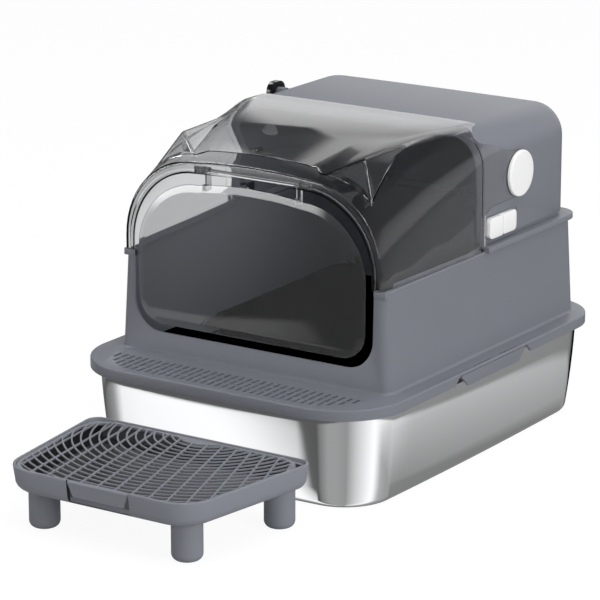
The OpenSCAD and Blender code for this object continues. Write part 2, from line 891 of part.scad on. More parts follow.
module pivot_cap(side) {
    x0 = cover_hw + seat;
    rim = [for (a = [0:15:90]) [cap_r - cap_edge * (1 - cos(a)), cap_t - cap_edge * (1 - sin(a))]];
    color(white_c) on_side(side) {
        translate([x0, pivot_y, pivot_z]) rotate([0, 90, 0]) rotate_extrude()
            polygon(concat([[0, 0], [cap_r, 0]], rim, [[0, cap_t]]));
        rod_x(stud_d / 2, hood_hw - hood_t - nut_t, x0 + eps, pivot_y, pivot_z);
    }
}

module pivot_nut(side) {
    x1 = hood_hw - hood_t;
    color(white_c) on_side(side) difference() {
        rod_x(nut_r, x1 - nut_t, x1, pivot_y, pivot_z);
        rod_x(stud_d / 2 + run, x1 - far, x1 + far, pivot_y, pivot_z);
    }
}

// ---- Hood latches

function latch_half(y0, y1, front_r, back_r) =
    rounded(
        [[y0, latch_z], [y1, latch_z], [y1, latch_z + latch_h], [y0, latch_z + latch_h]],
        [front_r, back_r, back_r, front_r]
    );

module hood_latch(side) {
    x0 = hood_hw - pocket_d + seat;
    x1 = hood_hw + latch_out;
    mid = latch_y + (latch_l + latch_groove) / 2;
    plate_x = hood_hw - hood_t - plate_back;
    color(white_c) on_side(side) {
        prism_x(latch_half(latch_y, latch_y + latch_l, latch_r, latch_r), x0, x0 + latch_t);
        prism_x(latch_half(latch_y, mid - latch_groove, latch_r, latch_groove_r), x0, x1);
        prism_x(latch_half(mid, latch_y + latch_l, latch_groove_r, latch_r), x0, x1 - latch_step);
        translate([plate_x, stem_y, stem_z - stem.y / 2]) cube([x0 - plate_x + eps, stem.x, stem.y]);
        rod_x(rivet_d / 2, plate_x - plate_t, plate_x + eps, stem_y + stem.x / 2, stem_z);
    }
}

module latch_plate(side) {
    x1 = hood_hw - hood_t - plate_back;
    color(steel_c) on_side(side) difference() {
        translate([x1 - plate_t, latch_y + plate_set, stem_z - plate_h / 2])
            cube([plate_t, plate_l, plate_h]);
        rod_x(rivet_d / 2 + run, x1 - far, x1 + far, stem_y + stem.x / 2, stem_z);
    }
}

// ---- Side clips

module side_clip(side) {
    barrel_l = clip_l / 2 + clip_slope * (clip_z - clip_barrel_r - skirt_z + clip_drop);
    slab = 2 * (clip_l + clip_side);
    color(grey_c) on_side(side) difference() {
        union() {
            intersection() {
                prism_x(clip_outline(), half_w - clip_t, half_w);
                translate([0, -slab / 2, 0]) cube([half_w, slab, clip_z]);
            }
            rod_y(clip_barrel_r, clip_y - barrel_l, clip_y + barrel_l, clip_x, clip_z);
            translate([half_w - hook_reach, clip_y - hook_l / 2, pan_h - pan_t - seat - hook_t])
                cube([hook_reach - clip_t + eps, hook_l, hook_t]);
        }
        rod_y(clip_pin_d / 2 + run, -half_w, half_w, clip_x, clip_z);
    }
}

module clip_pin(side) {
    l = clip_l / 2 + clip_side + clip_play + pad_l - pin_short;
    color(steel_c) on_side(side) rod_y(clip_pin_d / 2, clip_y - l, clip_y + l, clip_x, clip_z);
}

// ---- Scoop and its hook, on the left side of the hood

module scoop_hook() {
    x0 = hood_hw;
    x1 = hood_hw + frame_t;
    base_z = hood_top - hood_r - hook_plate_h;
    color(grey_c) on_side(-1) {
        translate([x0, scoop_y - hook_w / 2, base_z]) cube([frame_t, hook_w, peg_z + peg_r - base_z]);
        rod_x(peg_r, x1 - eps, x0 + peg_out, scoop_y, peg_z);
        rod_x(peg_r + hook_collar, x1 - eps, loop_x - seat, scoop_y, peg_z);
    }
}

module litter_scoop() {
    x0 = loop_x;
    x1 = x0 + handle_t;
    rail = (loop_w - loop_slot) / 2;
    blade_z = flange_z + blade_gap;
    handle_z = blade_z + blade_l;
    loop_z = loop_top - loop_h;
    loop = rounded(
        [[-loop_w / 2, loop_z], [loop_w / 2, loop_z], [loop_w / 2, loop_top], [-loop_w / 2, loop_top]],
        loop_r
    );
    slot = rounded(
        [
            [-loop_slot / 2, loop_top - rail - slot_h], [loop_slot / 2, loop_top - rail - slot_h],
            [loop_slot / 2, loop_top - rail], [-loop_slot / 2, loop_top - rail]
        ],
        slot_r
    );
    color(black_c) on_side(-1) translate([0, scoop_y, 0]) difference() {
        union() {
            prism_x(loop, x0, x1);
            translate([x0, -handle_w / 2, handle_z - handle_t])
                cube([handle_t, handle_w, loop_z + handle_w / 2 - handle_z + handle_t]);
            translate([x0, -blade_w / 2, blade_z]) cube([scoop_t, blade_w, blade_l]);
            for (y = [-blade_w / 2, blade_w / 2 - scoop_t])
                translate([x0, y, blade_z]) cube([blade_h, scoop_t, blade_l]);
            translate([x0, -blade_w / 2, handle_z - scoop_t]) cube([blade_h, blade_w, scoop_t]);
        }
        prism_x(slot, x0 - far, x1 + far);
        for (i = [0:scoop_slots - 1], z = [0, 1])
            translate([
                x0 - far,
                (i - (scoop_slots - 1) / 2) * (blade_w - scoop_margin) / scoop_slots - scoop_slot.x / 2,
                blade_z + scoop_row_z + z * (scoop_slot.y + scoop_row_gap)
            ]) cube([far + scoop_t + eps, scoop_slot.x, scoop_slot.y]);
    }
}

// ---- Step

function step_outline(inset) =
    rounded(
        [
            [step_x - step_front_w / 2 + inset, step_front_y + inset],
            [step_x + step_front_w / 2 - inset, step_front_y + inset],
            [step_x + step_back_w / 2 - inset, step_back_y - inset],
            [step_x - step_back_w / 2 + inset, step_back_y - inset]
        ],
        [step_front_r - inset / 2, step_front_r - inset / 2, step_back_r - inset / 2, step_back_r - inset / 2]
    );

// Centre of a leg; side is -1 or 1, back is 0 or 1
function leg_pos(side, back) =
    let (
        y = back ? step_back_y - leg_back_in.y : step_front_y + leg_front_in.y,
        share = (y - step_front_y) / step_d,
        hw = (step_front_w + (step_back_w - step_front_w) * share) / 2
    )
    [step_x + side * (hw - (back ? leg_back_in.x : leg_front_in.x)), y];

// Outline of the pull tab in X and Z, grown by a gap
function tab_outline(gap, z0, z1) =
    let (x = step_x + tab_off, hw = tab_w / 2 + gap, slope = tab_lean / tab_h)
    [
        [x - hw + slope * (grid_z - z0), z0], [x + hw - slope * (grid_z - z0), z0],
        [x + hw, z1], [x - hw, z1]
    ];

module step_tray() {
    recess = step_x + tab_off - tab_w / 2 - tab_gap;
    color(grey_c) difference() {
        union() {
            ring_z(step_outline(0), step_outline(tray_t), tray_z, step_h);
            ring_z(step_outline(eps), step_outline(tray_t + ledge_t), tray_z, grid_z);
            translate([0, 0, tray_z]) linear_extrude(tray_t) polygon(step_outline(eps));
        }
        translate([recess, step_front_y - far, tray_z + tray_t])
            cube([tab_w + 2 * tab_gap, far + tray_t + ledge_t + eps, far]);
        translate([recess, step_front_y - far, tray_z + recess_foot])
            cube([tab_w + 2 * tab_gap, far + tray_t, far]);
        for (side = [-1, 1], back = [0, 1])
            translate([leg_pos(side, back).x, leg_pos(side, back).y, tray_z - over])
                cylinder(r = spigot_r + run, h = tray_t + 2 * over);
    }
}

module step_leg(side, back) {
    p = leg_pos(side, back);
    foot = [for (a = [0:15:90]) [leg_r - leg_foot_r * (1 - sin(a)), leg_foot_r * (1 - cos(a))]];
    color(grey_c) translate([p.x, p.y, 0]) {
        rotate_extrude() polygon(concat([[0, 0]], foot, [[leg_r, tray_z], [0, tray_z]]));
        translate([0, 0, tray_z - eps]) cylinder(r = spigot_r, h = tray_t + eps);
    }
}

module grid_bars() {
    mid_y = (step_front_y + step_back_y) / 2;
    n = ceil(step_back_w / 2 / grid_pitch);
    for (i = [-n:n])
        translate([step_x + i * grid_pitch, mid_y])
            rotate(bar_lean + i * bar_fan) square([grid_bar, 2 * step_d], center = true);
    for (r = [arc_r:arc_pitch:arc_front])
        translate([step_x, arc_y]) difference() {
            circle(r = r + grid_bar / 2, $fn = 96);
            circle(r = r - grid_bar / 2, $fn = 96);
        }
    translate([step_x, arc_y]) circle(r = arc_r, $fn = 96);
}

module step_grid() {
    gap = tray_t + grid_gap;
    color(grey_c) {
        translate([0, 0, grid_z]) linear_extrude(grid_t) {
            difference() {
                polygon(step_outline(gap));
                polygon(step_outline(gap + grid_rim));
            }
            intersection() {
                polygon(step_outline(gap + grid_rim / 2));
                grid_bars();
            }
        }
        prism_y(tab_outline(0, grid_z - tab_h, grid_z + grid_t), step_front_y, step_front_y + tray_t);
        translate([step_x + tab_off - tab_w / 2, step_front_y, grid_z])
            cube([tab_w, gap + grid_rim, grid_t]);
    }
}

pan();
base_frame();
rear_hood();
flip_cover();
door_flap();
door_hinge_pin();
pivot_cap(-1);  // pivot_cap_left
pivot_cap(1);  // pivot_cap_right
pivot_nut(-1);  // pivot_nut_left
pivot_nut(1);  // pivot_nut_right
hood_latch(-1);  // hood_latch_left
hood_latch(1);  // hood_latch_right
latch_plate(-1);  // latch_plate_left
latch_plate(1);  // latch_plate_right
side_clip(-1);  // side_clip_left
side_clip(1);  // side_clip_right
clip_pin(-1);  // clip_pin_left
clip_pin(1);  // clip_pin_right
scoop_hook();
litter_scoop();
step_tray();
step_leg(-1, 0);  // step_leg_front_left
step_leg(1, 0);  // step_leg_front_right
step_leg(-1, 1);  // step_leg_back_left
step_leg(1, 1);  // step_leg_back_right
step_grid();
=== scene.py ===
import json
import math

import bmesh
import bpy
from mathutils import Matrix, Vector, geometry

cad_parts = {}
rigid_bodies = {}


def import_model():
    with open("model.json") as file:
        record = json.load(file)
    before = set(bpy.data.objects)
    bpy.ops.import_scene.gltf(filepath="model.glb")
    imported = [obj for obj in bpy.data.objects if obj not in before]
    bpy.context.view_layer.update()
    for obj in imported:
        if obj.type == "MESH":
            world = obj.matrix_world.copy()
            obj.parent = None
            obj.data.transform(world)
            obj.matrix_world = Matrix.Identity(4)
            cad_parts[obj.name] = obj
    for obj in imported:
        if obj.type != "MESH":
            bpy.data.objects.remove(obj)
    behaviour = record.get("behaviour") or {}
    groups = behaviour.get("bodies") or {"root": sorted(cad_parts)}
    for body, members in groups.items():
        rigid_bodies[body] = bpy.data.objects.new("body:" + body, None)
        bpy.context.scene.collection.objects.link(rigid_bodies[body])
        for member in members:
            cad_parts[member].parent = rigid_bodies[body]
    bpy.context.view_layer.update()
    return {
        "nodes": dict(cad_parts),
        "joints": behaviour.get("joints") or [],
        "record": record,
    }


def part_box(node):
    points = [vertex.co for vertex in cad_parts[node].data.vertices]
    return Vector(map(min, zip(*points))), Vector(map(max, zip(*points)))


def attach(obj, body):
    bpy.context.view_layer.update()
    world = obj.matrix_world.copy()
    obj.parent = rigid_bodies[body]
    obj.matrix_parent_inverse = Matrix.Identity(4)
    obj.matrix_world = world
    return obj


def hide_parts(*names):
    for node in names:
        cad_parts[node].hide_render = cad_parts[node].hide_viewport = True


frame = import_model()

MM = 0.001
nodes = frame["nodes"]
joints = {j["name"]: j for j in frame["joints"]}


# ------------------------ sizes, from the frame, in mm

def box_mm(node):
    low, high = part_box(node)
    return low / MM, high / MM


frame_low, frame_high = box_mm("base_frame")
hood_low, hood_high = box_mm("rear_hood")
cover_low, cover_high = box_mm("flip_cover")
pan_high = box_mm("pan")[1]
door_low, door_high = box_mm("door_flap")
pin_high = box_mm("door_hinge_pin")[1]
tray_low, tray_high = box_mm("step_tray")
clip_low, clip_high = box_mm("side_clip_right")
cap_low, cap_high = box_mm("pivot_cap_right")
pivot_y, pivot_z = (v / MM for v in joints["cover_flip"]["pos_m"][1:])
hinge_y, hinge_z = (v / MM for v in joints["door_swing"]["pos_m"][1:])

WALL = 3.0  # moulded walls
FLANGE_Z = frame_low.z + 13  # top of the flange
PLATE_Z = FLANGE_Z - WALL
TOP_Z = FLANGE_Z + 120  # top of the enclosure's wall
FOOT = dict(hw=frame_high.x - 22.5, front=frame_low.y + 87, back=frame_high.y - 31.3)
SIDE_DRAFT, END_DRAFT = 5.5, 3.0
TOP_HW = FOOT["hw"] - SIDE_DRAFT
TOP_FRONT = FOOT["front"] + END_DRAFT
TOP_BACK = FOOT["back"] - END_DRAFT
DOOR_HW = TOP_HW - 16
SILL_Z = FLANGE_Z + 25
SILL_R = 36
RIM_Z = TOP_Z + 5
HOOD_Z = RIM_Z + 5
RIM_FRONT = hood_low.y + 0.3
COVER_T = 2.5
FACE_TOP = cover_high.z - 25  # top of the cover's front face
ARCH_HW, ARCH_TOP, ARCH_R, ARCH_CROWN = 165.5, FACE_TOP - 16, 90, 2
STEPS = 14  # chords in one rounded corner
BULGE_STEPS = 10  # chords in one bulging side
BEAD_SIDES = 10  # chords round a bead
TURN_STEPS = 48  # chords in a full turn
HAIR = 0.002  # lift from ring to ring, because rings in one plane don't bridge
WELD = 0.001  # points nearer to each other than this are one
SIDES = ((-1, "left"), (1, "right"))


# ------------------------ outlines

def rounded(points, radii, steps=STEPS):
    """Outline through points, each corner replaced by an arc of its own radius."""
    out = []
    count = len(points)
    for i, (p, r) in enumerate(zip(points, radii)):
        p = Vector(p)
        u = (Vector(points[i - 1]) - p).normalized()
        v = (Vector(points[(i + 1) % count]) - p).normalized()
        half = u.angle(v) / 2
        centre = p + (u + v).normalized() * r / math.sin(half)
        a = p + u * r / math.tan(half) - centre
        b = p + v * r / math.tan(half) - centre
        start = math.atan2(a.y, a.x)
        turn = (math.atan2(b.y, b.x) - start + 3 * math.pi) % (2 * math.pi) - math.pi
        for k in range(steps + 1):
            t = start + turn * k / steps
            out.append(centre + r * Vector((math.cos(t), math.sin(t))))
    return out


def bulging(half_w, half_l, r, bulge):
    """Rounded rectangle about the origin whose sides bow outwards, the corners going with them."""
    arcs = rounded(corners(half_w, -half_l, half_l), [r] * 4)
    out = []
    for i in range(0, len(arcs), STEPS + 1):
        out += arcs[i:i + STEPS + 1]
        run = arcs[(i + STEPS + 1) % len(arcs)] - out[-1]
        start = out[-1]
        out += [start + run * k / BULGE_STEPS for k in range(1, BULGE_STEPS)]
    return [
        Vector((
            p.x * (1 + bulge / half_w * (1 - (p.y / half_l) ** 2)),
            p.y * (1 + bulge / half_l * (1 - (p.x / half_w) ** 2)),
        ))
        for p in out
    ]


def corners(hw, front, back):
    return [(-hw, front), (hw, front), (hw, back), (-hw, back)]


def plan(hw, front, back, front_r, back_r):
    """Rounded rectangle in X and Y, with one radius at the front and one at the back."""
    return rounded(corners(hw, front, back), [front_r, front_r, back_r, back_r])


def quarter_turn(steps):
    """Angles of a quarter circle, both ends included."""
    return [math.pi / 2 * k / steps for k in range(steps + 1)]


def fillet(r, steps=6):
    """Distances along and across a quarter round, from (0, r) to (r, 0)."""
    return [(r * (1 - math.cos(t)), r * (1 - math.sin(t))) for t in quarter_turn(steps)]


def arch(hw, z0, top, r, crown):
    """Straight sides from z0, round shoulders and a crowned top, in X and Z."""
    cx, cz = hw - r, top - crown - r
    right = [Vector((cx + r * math.cos(t), cz + r * math.sin(t))) for t in quarter_turn(STEPS)]
    top_run = [Vector((cx * s, top - crown * s * s)) for s in (0.75, 0.5, 0.25, 0, -0.25, -0.5, -0.75)]
    left = [Vector((-p.x, p.y)) for p in reversed(right)]
    return [Vector((-hw, z0)), Vector((hw, z0))] + right + top_run + left


def at_z(outline, z):
    return [Vector((p.x, p.y, z)) for p in outline]


def at_y(outline, y):
    return [Vector((p.x, y, p.y)) for p in outline]


def at_x(outline, x):
    return [Vector((x, p.x, p.y)) for p in outline]


# ------------------------ mesh helpers

def skin(bm, rings, closed=False):
    """Bridges rings of points into a closed shell, capped at both ends unless the rings close."""
    loops = []
    for i, ring in enumerate(rings):
        lift = geometry.normal(ring) * HAIR * i
        verts = [bm.verts.new((p + lift) * MM) for p in ring]
        edges = [bm.edges.new((v, verts[(i + 1) % len(verts)])) for i, v in enumerate(verts)]
        loops.append((verts, edges))
    pairs = list(zip(loops, loops[1:]))
    if closed:
        pairs.append((loops[-1], loops[0]))
    faces = []
    for a, b in pairs:
        faces += bmesh.ops.bridge_loops(bm, edges=a[1] + b[1])["faces"]
    if not closed:
        faces += [bm.faces.new(loops[0][0]), bm.faces.new(loops[-1][0])]
    bmesh.ops.recalc_face_normals(bm, faces=faces)
    return faces


def block(bm, low, high):
    made = bmesh.ops.create_cube(bm, size=1)["verts"]
    low, high = Vector(low), Vector(high)
    bmesh.ops.scale(bm, verts=made, vec=(high - low) * MM)
    bmesh.ops.translate(bm, verts=made, vec=(high + low) / 2 * MM)
    return made


def side_block(bm, side, low, high):
    """Block given for the right side, at the right or mirrored to the left."""
    x0, x1 = sorted((side * low[0], side * high[0]))
    block(bm, (x0, low[1], low[2]), (x1, high[1], high[2]))


def side_plate(bm, side, outline, inner, outer):
    """Plate of an outline in Y and Z, given for the right side, at the right or mirrored to the left."""
    skin(bm, [at_x(outline, x) for x in sorted((side * inner, side * outer))])


def rod(bm, r, start, end, segments=32):
    start, end = Vector(start), Vector(end)
    turn = (end - start).to_track_quat("Z", "Y").to_matrix().to_4x4()
    place = Matrix.Translation((start + end) / 2 * MM) @ turn
    bmesh.ops.create_cone(
        bm, cap_ends=True, segments=segments, radius1=r * MM, radius2=r * MM,
        depth=(end - start).length * MM, matrix=place,
    )


def bead(bm, path, r):
    """Round bead along a path of points that nowhere runs exactly along Y."""
    turns = [2 * math.pi * k / BEAD_SIDES for k in range(BEAD_SIDES)]
    rings = []
    for i, p in enumerate(path):
        run = (path[min(i + 1, len(path) - 1)] - path[max(i - 1, 0)]).normalized()
        up = run.cross(Vector((0, 1, 0))).normalized()
        back = up.cross(run)
        rings.append([p + r * (math.cos(t) * back + math.sin(t) * up) for t in turns])
    skin(bm, rings)


def turned(bm, profile, centre, axis):
    """Spins a profile of (radius, place along the axis) points into a closed solid."""
    axis = Vector(axis)
    out = Vector((0, 0, 1)) if abs(axis.z) < 0.5 else Vector((1, 0, 0))
    verts = [bm.verts.new((Vector(centre) + out * r + axis * a) * MM) for r, a in profile]
    edges = [bm.edges.new(pair) for pair in zip(verts, verts[1:])]
    bmesh.ops.spin(
        bm, geom=verts + edges, cent=Vector(centre) * MM, axis=axis, dvec=(0, 0, 0),
        angle=2 * math.pi, steps=TURN_STEPS, use_merge=True,
    )
    bmesh.ops.remove_doubles(bm, verts=bm.verts, dist=WELD * MM)
    bmesh.ops.recalc_face_normals(bm, faces=bm.faces)


def to_object(bm, name):
    mesh = bpy.data.meshes.new(name)
    bm.to_mesh(mesh)
    bm.free()
    obj = bpy.data.objects.new(name, mesh)
    bpy.context.scene.collection.objects.link(obj)
    return obj


def bake(obj):
    """Applies the object's modifiers to its mesh."""
    graph = bpy.context.evaluated_depsgraph_get()
    mesh = bpy.data.meshes.new_from_object(obj.evaluated_get(graph))
    old = obj.data
    obj.modifiers.clear()
    obj.data = mesh
    bpy.data.meshes.remove(old)
    mesh.name = obj.name


def combine(obj, tools, operation):
    """Joins, cuts or intersects obj with the mesh in tools."""
    tool = to_object(tools, obj.name + "_tool")
    step = obj.modifiers.new(operation, "BOOLEAN")
    step.operation = operation
    step.solver = "EXACT"
    step.use_self = True
    step.object = tool
    bake(obj)
    bpy.data.objects.remove(tool)


def soften(obj, width, angle=40):
    """Rounds the piece's sharp edges."""
    edge = obj.modifiers.new("edge", "BEVEL")
    edge.width = width * MM
    edge.segments = 2
    edge.limit_method = "ANGLE"
    edge.angle_limit = math.radians(angle)
    edge.use_clamp_overlap = True
    edge.miter_outer = "MITER_ARC"
    bake(obj)


def finish(obj, body, slot, material, *replaced, smooth=35):
    """Gives a piece its material and shading and its body, and hides the nodes that it stands for; the slot
    is not used.
    """
    obj.data.materials.clear()
    obj.data.materials.append(material)
    obj.data.polygons.foreach_set("material_index", [0] * len(obj.data.polygons))
    obj.data.shade_smooth()
    obj.data.set_sharp_from_angle(angle=math.radians(smooth))
    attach(obj, body)
    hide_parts(*replaced)


def dressed(node, body, slot, material, width):
    """A merged copy of a CAD node with its edges rounded, as a piece that stands for it."""
    bm = bmesh.new()
    bm.from_mesh(nodes[node].data)
    bmesh.ops.remove_doubles(bm, verts=bm.verts, dist=WELD * MM)
    bmesh.ops.join_triangles(bm, faces=bm.faces, angle_face_threshold=0.01, angle_shape_threshold=3.2)
    obj = to_object(bm, node + "_moulding")
    soften(obj, width)
    finish(obj, body, slot, material, node)


# ------------------------ materials

PLASTIC_IOR = 1.49
GRAIN_MM = 0.8  # the mouldings' spark-eroded grain, drawn coarser than real so that it shows
FLOW = 14.0  # per metre: patches about 70 mm across
ROLLING = (60, 60, 2200)  # per metre: level lines about 0.5 mm high and 17 mm long
RIPPLE = 6.0  # per metre: waves about 170 mm long
MIX_A, MIX_B, MIX_OUT = 6, 7, 2  # the colour sockets of a Mix node


def linear(hex_colour):
    """sRGB hex to linear RGBA."""
    parts = [int(hex_colour[i:i + 2], 16) / 255 for i in (1, 3, 5)]
    return [c / 12.92 if c <= 0.04045 else ((c + 0.055) / 1.055) ** 2.4 for c in parts] + [1]


def add(tree, kind, links=(), **settings):
    """Adds a shader node, sets its inputs or properties by name, and fills inputs from (source, input) pairs.

    A source is an output, a node, which stands for its first output, or a plain value.
    """
    node = tree.nodes.new("ShaderNode" + kind)
    for key, value in settings.items():
        name = key.replace("_", " ")
        if name in node.inputs:
            node.inputs[name].default_value = value
        else:
            setattr(node, key, value)
    for source, target in links:
        if isinstance(source, bpy.types.Node):
            source = source.outputs[0]
        if isinstance(source, bpy.types.NodeSocket):
            tree.links.new(source, node.inputs[target])
        else:
            node.inputs[target].default_value = source
    return node


def new_material(name):
    material = bpy.data.materials.new(name)
    material.use_nodes = True
    tree = material.node_tree
    tree.nodes.clear()
    return material, tree


def base_colour(tree, colour, inside):
    """The piece's colour, with a second colour of painted shade, if given, on the faces that its mesh marks
    for that shade.
    """
    if not inside:
        return linear(colour)
    mark = add(tree, "Attribute", attribute_name="inside")
    tones = add(
        tree, "Mix", [(mark.outputs["Fac"], "Factor"), (linear(colour), MIX_A), (linear(inside), MIX_B)],
        data_type="RGBA",
    )
    return tones.outputs[MIX_OUT]


def moulded(name, colour, roughness, gloss=0.5, mottle=0.03, inside=None):
    """Injection-moulded plastic: one colour with a faint flow mottle and a fine spark-eroded grain."""
    material, tree = new_material(name)
    place = add(tree, "TexCoord").outputs["Object"]
    flow = add(tree, "TexNoise", [(place, "Vector")], Scale=FLOW, Detail=3.0)
    shade = add(tree, "MapRange", [(flow, "Value")], To_Min=1 - mottle, To_Max=1 + mottle)
    tint = add(
        tree, "Mix", [(base_colour(tree, colour, inside), MIX_A), (shade, MIX_B)],
        data_type="RGBA", blend_type="MULTIPLY", Factor=1.0,
    )
    grain = add(tree, "TexNoise", [(place, "Vector")], Scale=1 / (GRAIN_MM * MM), Detail=2.0)
    bump = add(tree, "Bump", [(grain, "Height")], Strength=0.03, Distance=0.2 * MM)
    shader = add(
        tree, "BsdfPrincipled", [(tint.outputs[MIX_OUT], "Base Color"), (bump, "Normal")],
        Roughness=roughness, IOR=PLASTIC_IOR, Specular_IOR_Level=gloss,
    )
    add(tree, "OutputMaterial", [(shader, "Surface")])
    return material


def steel(name, colour, roughness, inside=None):
    """Drawn stainless: a mirror blurred along fine level rolling lines, and duller at a graze."""
    material, tree = new_material(name)
    place = add(tree, "TexCoord").outputs["Object"]
    stretch = add(tree, "Mapping", [(place, "Vector")], Scale=ROLLING)
    lines = add(tree, "TexNoise", [(stretch, "Vector")], Scale=1.0, Detail=2.0)
    spread = add(tree, "MapRange", [(lines, "Value")], To_Min=roughness * 0.85, To_Max=roughness * 1.2)
    bump = add(tree, "Bump", [(lines, "Height")], Strength=0.02, Distance=0.1 * MM)
    shader = add(
        tree, "BsdfPrincipled",
        [(base_colour(tree, colour, inside), "Base Color"), (spread, "Roughness"), (bump, "Normal")],
        Metallic=1.0, Specular_Tint=(0.45, 0.45, 0.45, 1),
    )
    add(tree, "OutputMaterial", [(shader, "Surface")])
    return material


def clear_plastic(name, density):
    """Smoke-tinted clear polystyrene: darker where the light runs along the wall, as at its edges."""
    material, tree = new_material(name)
    place = add(tree, "TexCoord").outputs["Object"]
    ripple = add(tree, "TexNoise", [(place, "Vector")], Scale=RIPPLE, Detail=0.0)
    bump = add(tree, "Bump", [(ripple, "Height")], Strength=0.001, Distance=2 * MM)
    shader = add(
        tree, "BsdfPrincipled", [(bump, "Normal")],
        Base_Color=linear("#ffffff"), Roughness=0.02, IOR=PLASTIC_IOR, Transmission_Weight=1.0,
    )
    # lamps light what lies behind it
    through = add(tree, "BsdfTransparent", Color=linear("#f8f8f9"))
    path = add(tree, "LightPath")
    surface = add(tree, "MixShader", [(path.outputs["Is Shadow Ray"], 0), (shader, 1), (through, 2)])
    smoke = add(tree, "VolumeAbsorption", Density=density, Color=linear("#8a8e93"))
    add(tree, "OutputMaterial", [(surface, "Surface"), (smoke, "Volume")])
    return material


# moulded polypropylene: soft, dull highlights; the step's is paler, with painted shade, near black, on the
# hollow under its grid
pp_grey = moulded("moulded_polypropylene_grey", "#7a7d85", 0.42, gloss=0.25)
pp_step = moulded("moulded_polypropylene_step_grey", "#858890", 0.5, gloss=0.2, inside="#121315")
# the same from a polished tool: black with tight highlights
pp_black = moulded("moulded_polypropylene_black", "#0d0d0f", 0.22, mottle=0.01)
# moulded ABS: an even white with crisper highlights
abs_white = moulded("moulded_abs_white", "#fafafa", 0.3, mottle=0.005)
# deep-drawn stainless sheet: near mirror outside, with painted shade, a dark colour, on its bowl; drawn wire:
# satin
pan_steel = steel("drawn_stainless_steel", "#e4e5e6", 0.05, inside="#27282b")
wire_steel = steel("drawn_steel_wire", "#d4d4d4", 0.2)
# clear polystyrene, the door's a little darker
smoke_clear = clear_plastic("smoke_clear_polystyrene", 150)
door_clear = clear_plastic("smoke_clear_door", 160)


# ------------------------ pan

PAN_CORNER, PAN_DRAFT, PAN_FLOOR_R, SHEET = 62.0, 10.1, 8.0, 0.8
PAN_LIP, PAN_CURL = 4, 2.2  # how far the lip stands out, and the radius that it turns out on
PAN_BOW, PAN_BULGE = 4.1, 1.5  # of each side, along its length and up its height
BOW_FADE = 24  # power of the height, so that the bow fades only just under the lip
PAN_LEVELS = [24, 40, 56, 72, 88, 100, 108, 113]


def pan_ring(z, inset):
    """Ring round the pan at a height, drawn in from its outside."""
    rise = z / pan_high.z
    d = PAN_DRAFT * (1 - rise) + inset - PAN_BULGE * 4 * rise * (1 - rise)
    r = PAN_CORNER - d / 2 - inset / 2
    half_w, half_l = pan_high.x - PAN_LIP - d, pan_high.y - PAN_LIP - d
    return at_z(bulging(half_w, half_l, r, PAN_BOW * (1 - rise ** BOW_FADE)), z)


def make_pan():
    """One sheet: up the outside, round the lip and down the inner wall, its inner faces marked for the
    painted shade.
    """
    height, half_t = pan_high.z, SHEET / 2
    curl_r = PAN_CURL + SHEET
    outer = [pan_ring(up, inset) for up, inset in fillet(PAN_FLOOR_R)]
    outer += [pan_ring(z, 0) for z in PAN_LEVELS] + [pan_ring(height - curl_r, 0)]
    curl = [pan_ring(height - SHEET - drop, -out) for out, drop in fillet(PAN_CURL)[1:]]
    hem = [
        pan_ring(height - drop, inset)
        for drop, inset in ((SHEET, half_t - PAN_LIP), (half_t, -PAN_LIP), (0, half_t - PAN_LIP))
    ]
    back_curl = [
        pan_ring(height - curl_r + curl_r * math.cos(t), -PAN_CURL - half_t + curl_r * math.sin(t))
        for t in quarter_turn(6)
    ]
    inner = [pan_ring(z, SHEET) for z in reversed(PAN_LEVELS)]
    bowl = [pan_ring(SHEET + up, SHEET + inset) for up, inset in reversed(fillet(PAN_FLOOR_R - SHEET))]
    bm = bmesh.new()
    skin(bm, outer + curl + hem + back_curl + inner + bowl)
    # faces that look into the bowl take the painted shade colour
    inside = bm.faces.layers.float.new("inside")
    for face in bm.faces:
        middle = face.calc_center_median()
        face[inside] = float(face.normal.dot(Vector((middle.x, middle.y, -0.3 * middle.length))) < 0)
    finish(to_object(bm, "steel_pan"), "base", "steel", pan_steel, "pan", smooth=50)


# ------------------------ enclosure frame

FLANGE_RADII, WALL_RADII = (85, 67), (12, 20)  # front corners, back corners


def flange(inset):
    """The flange's plan, drawn in."""
    return plan(
        frame_high.x - inset, frame_low.y + inset, frame_high.y - inset, *(r - inset for r in FLANGE_RADII)
    )


def wall(share, inset):
    """The enclosure wall's plan at a share of its height, drawn in."""
    return plan(
        FOOT["hw"] - SIDE_DRAFT * share - inset, FOOT["front"] + END_DRAFT * share + inset,
        FOOT["back"] - END_DRAFT * share - inset, *(r - inset for r in WALL_RADII),
    )


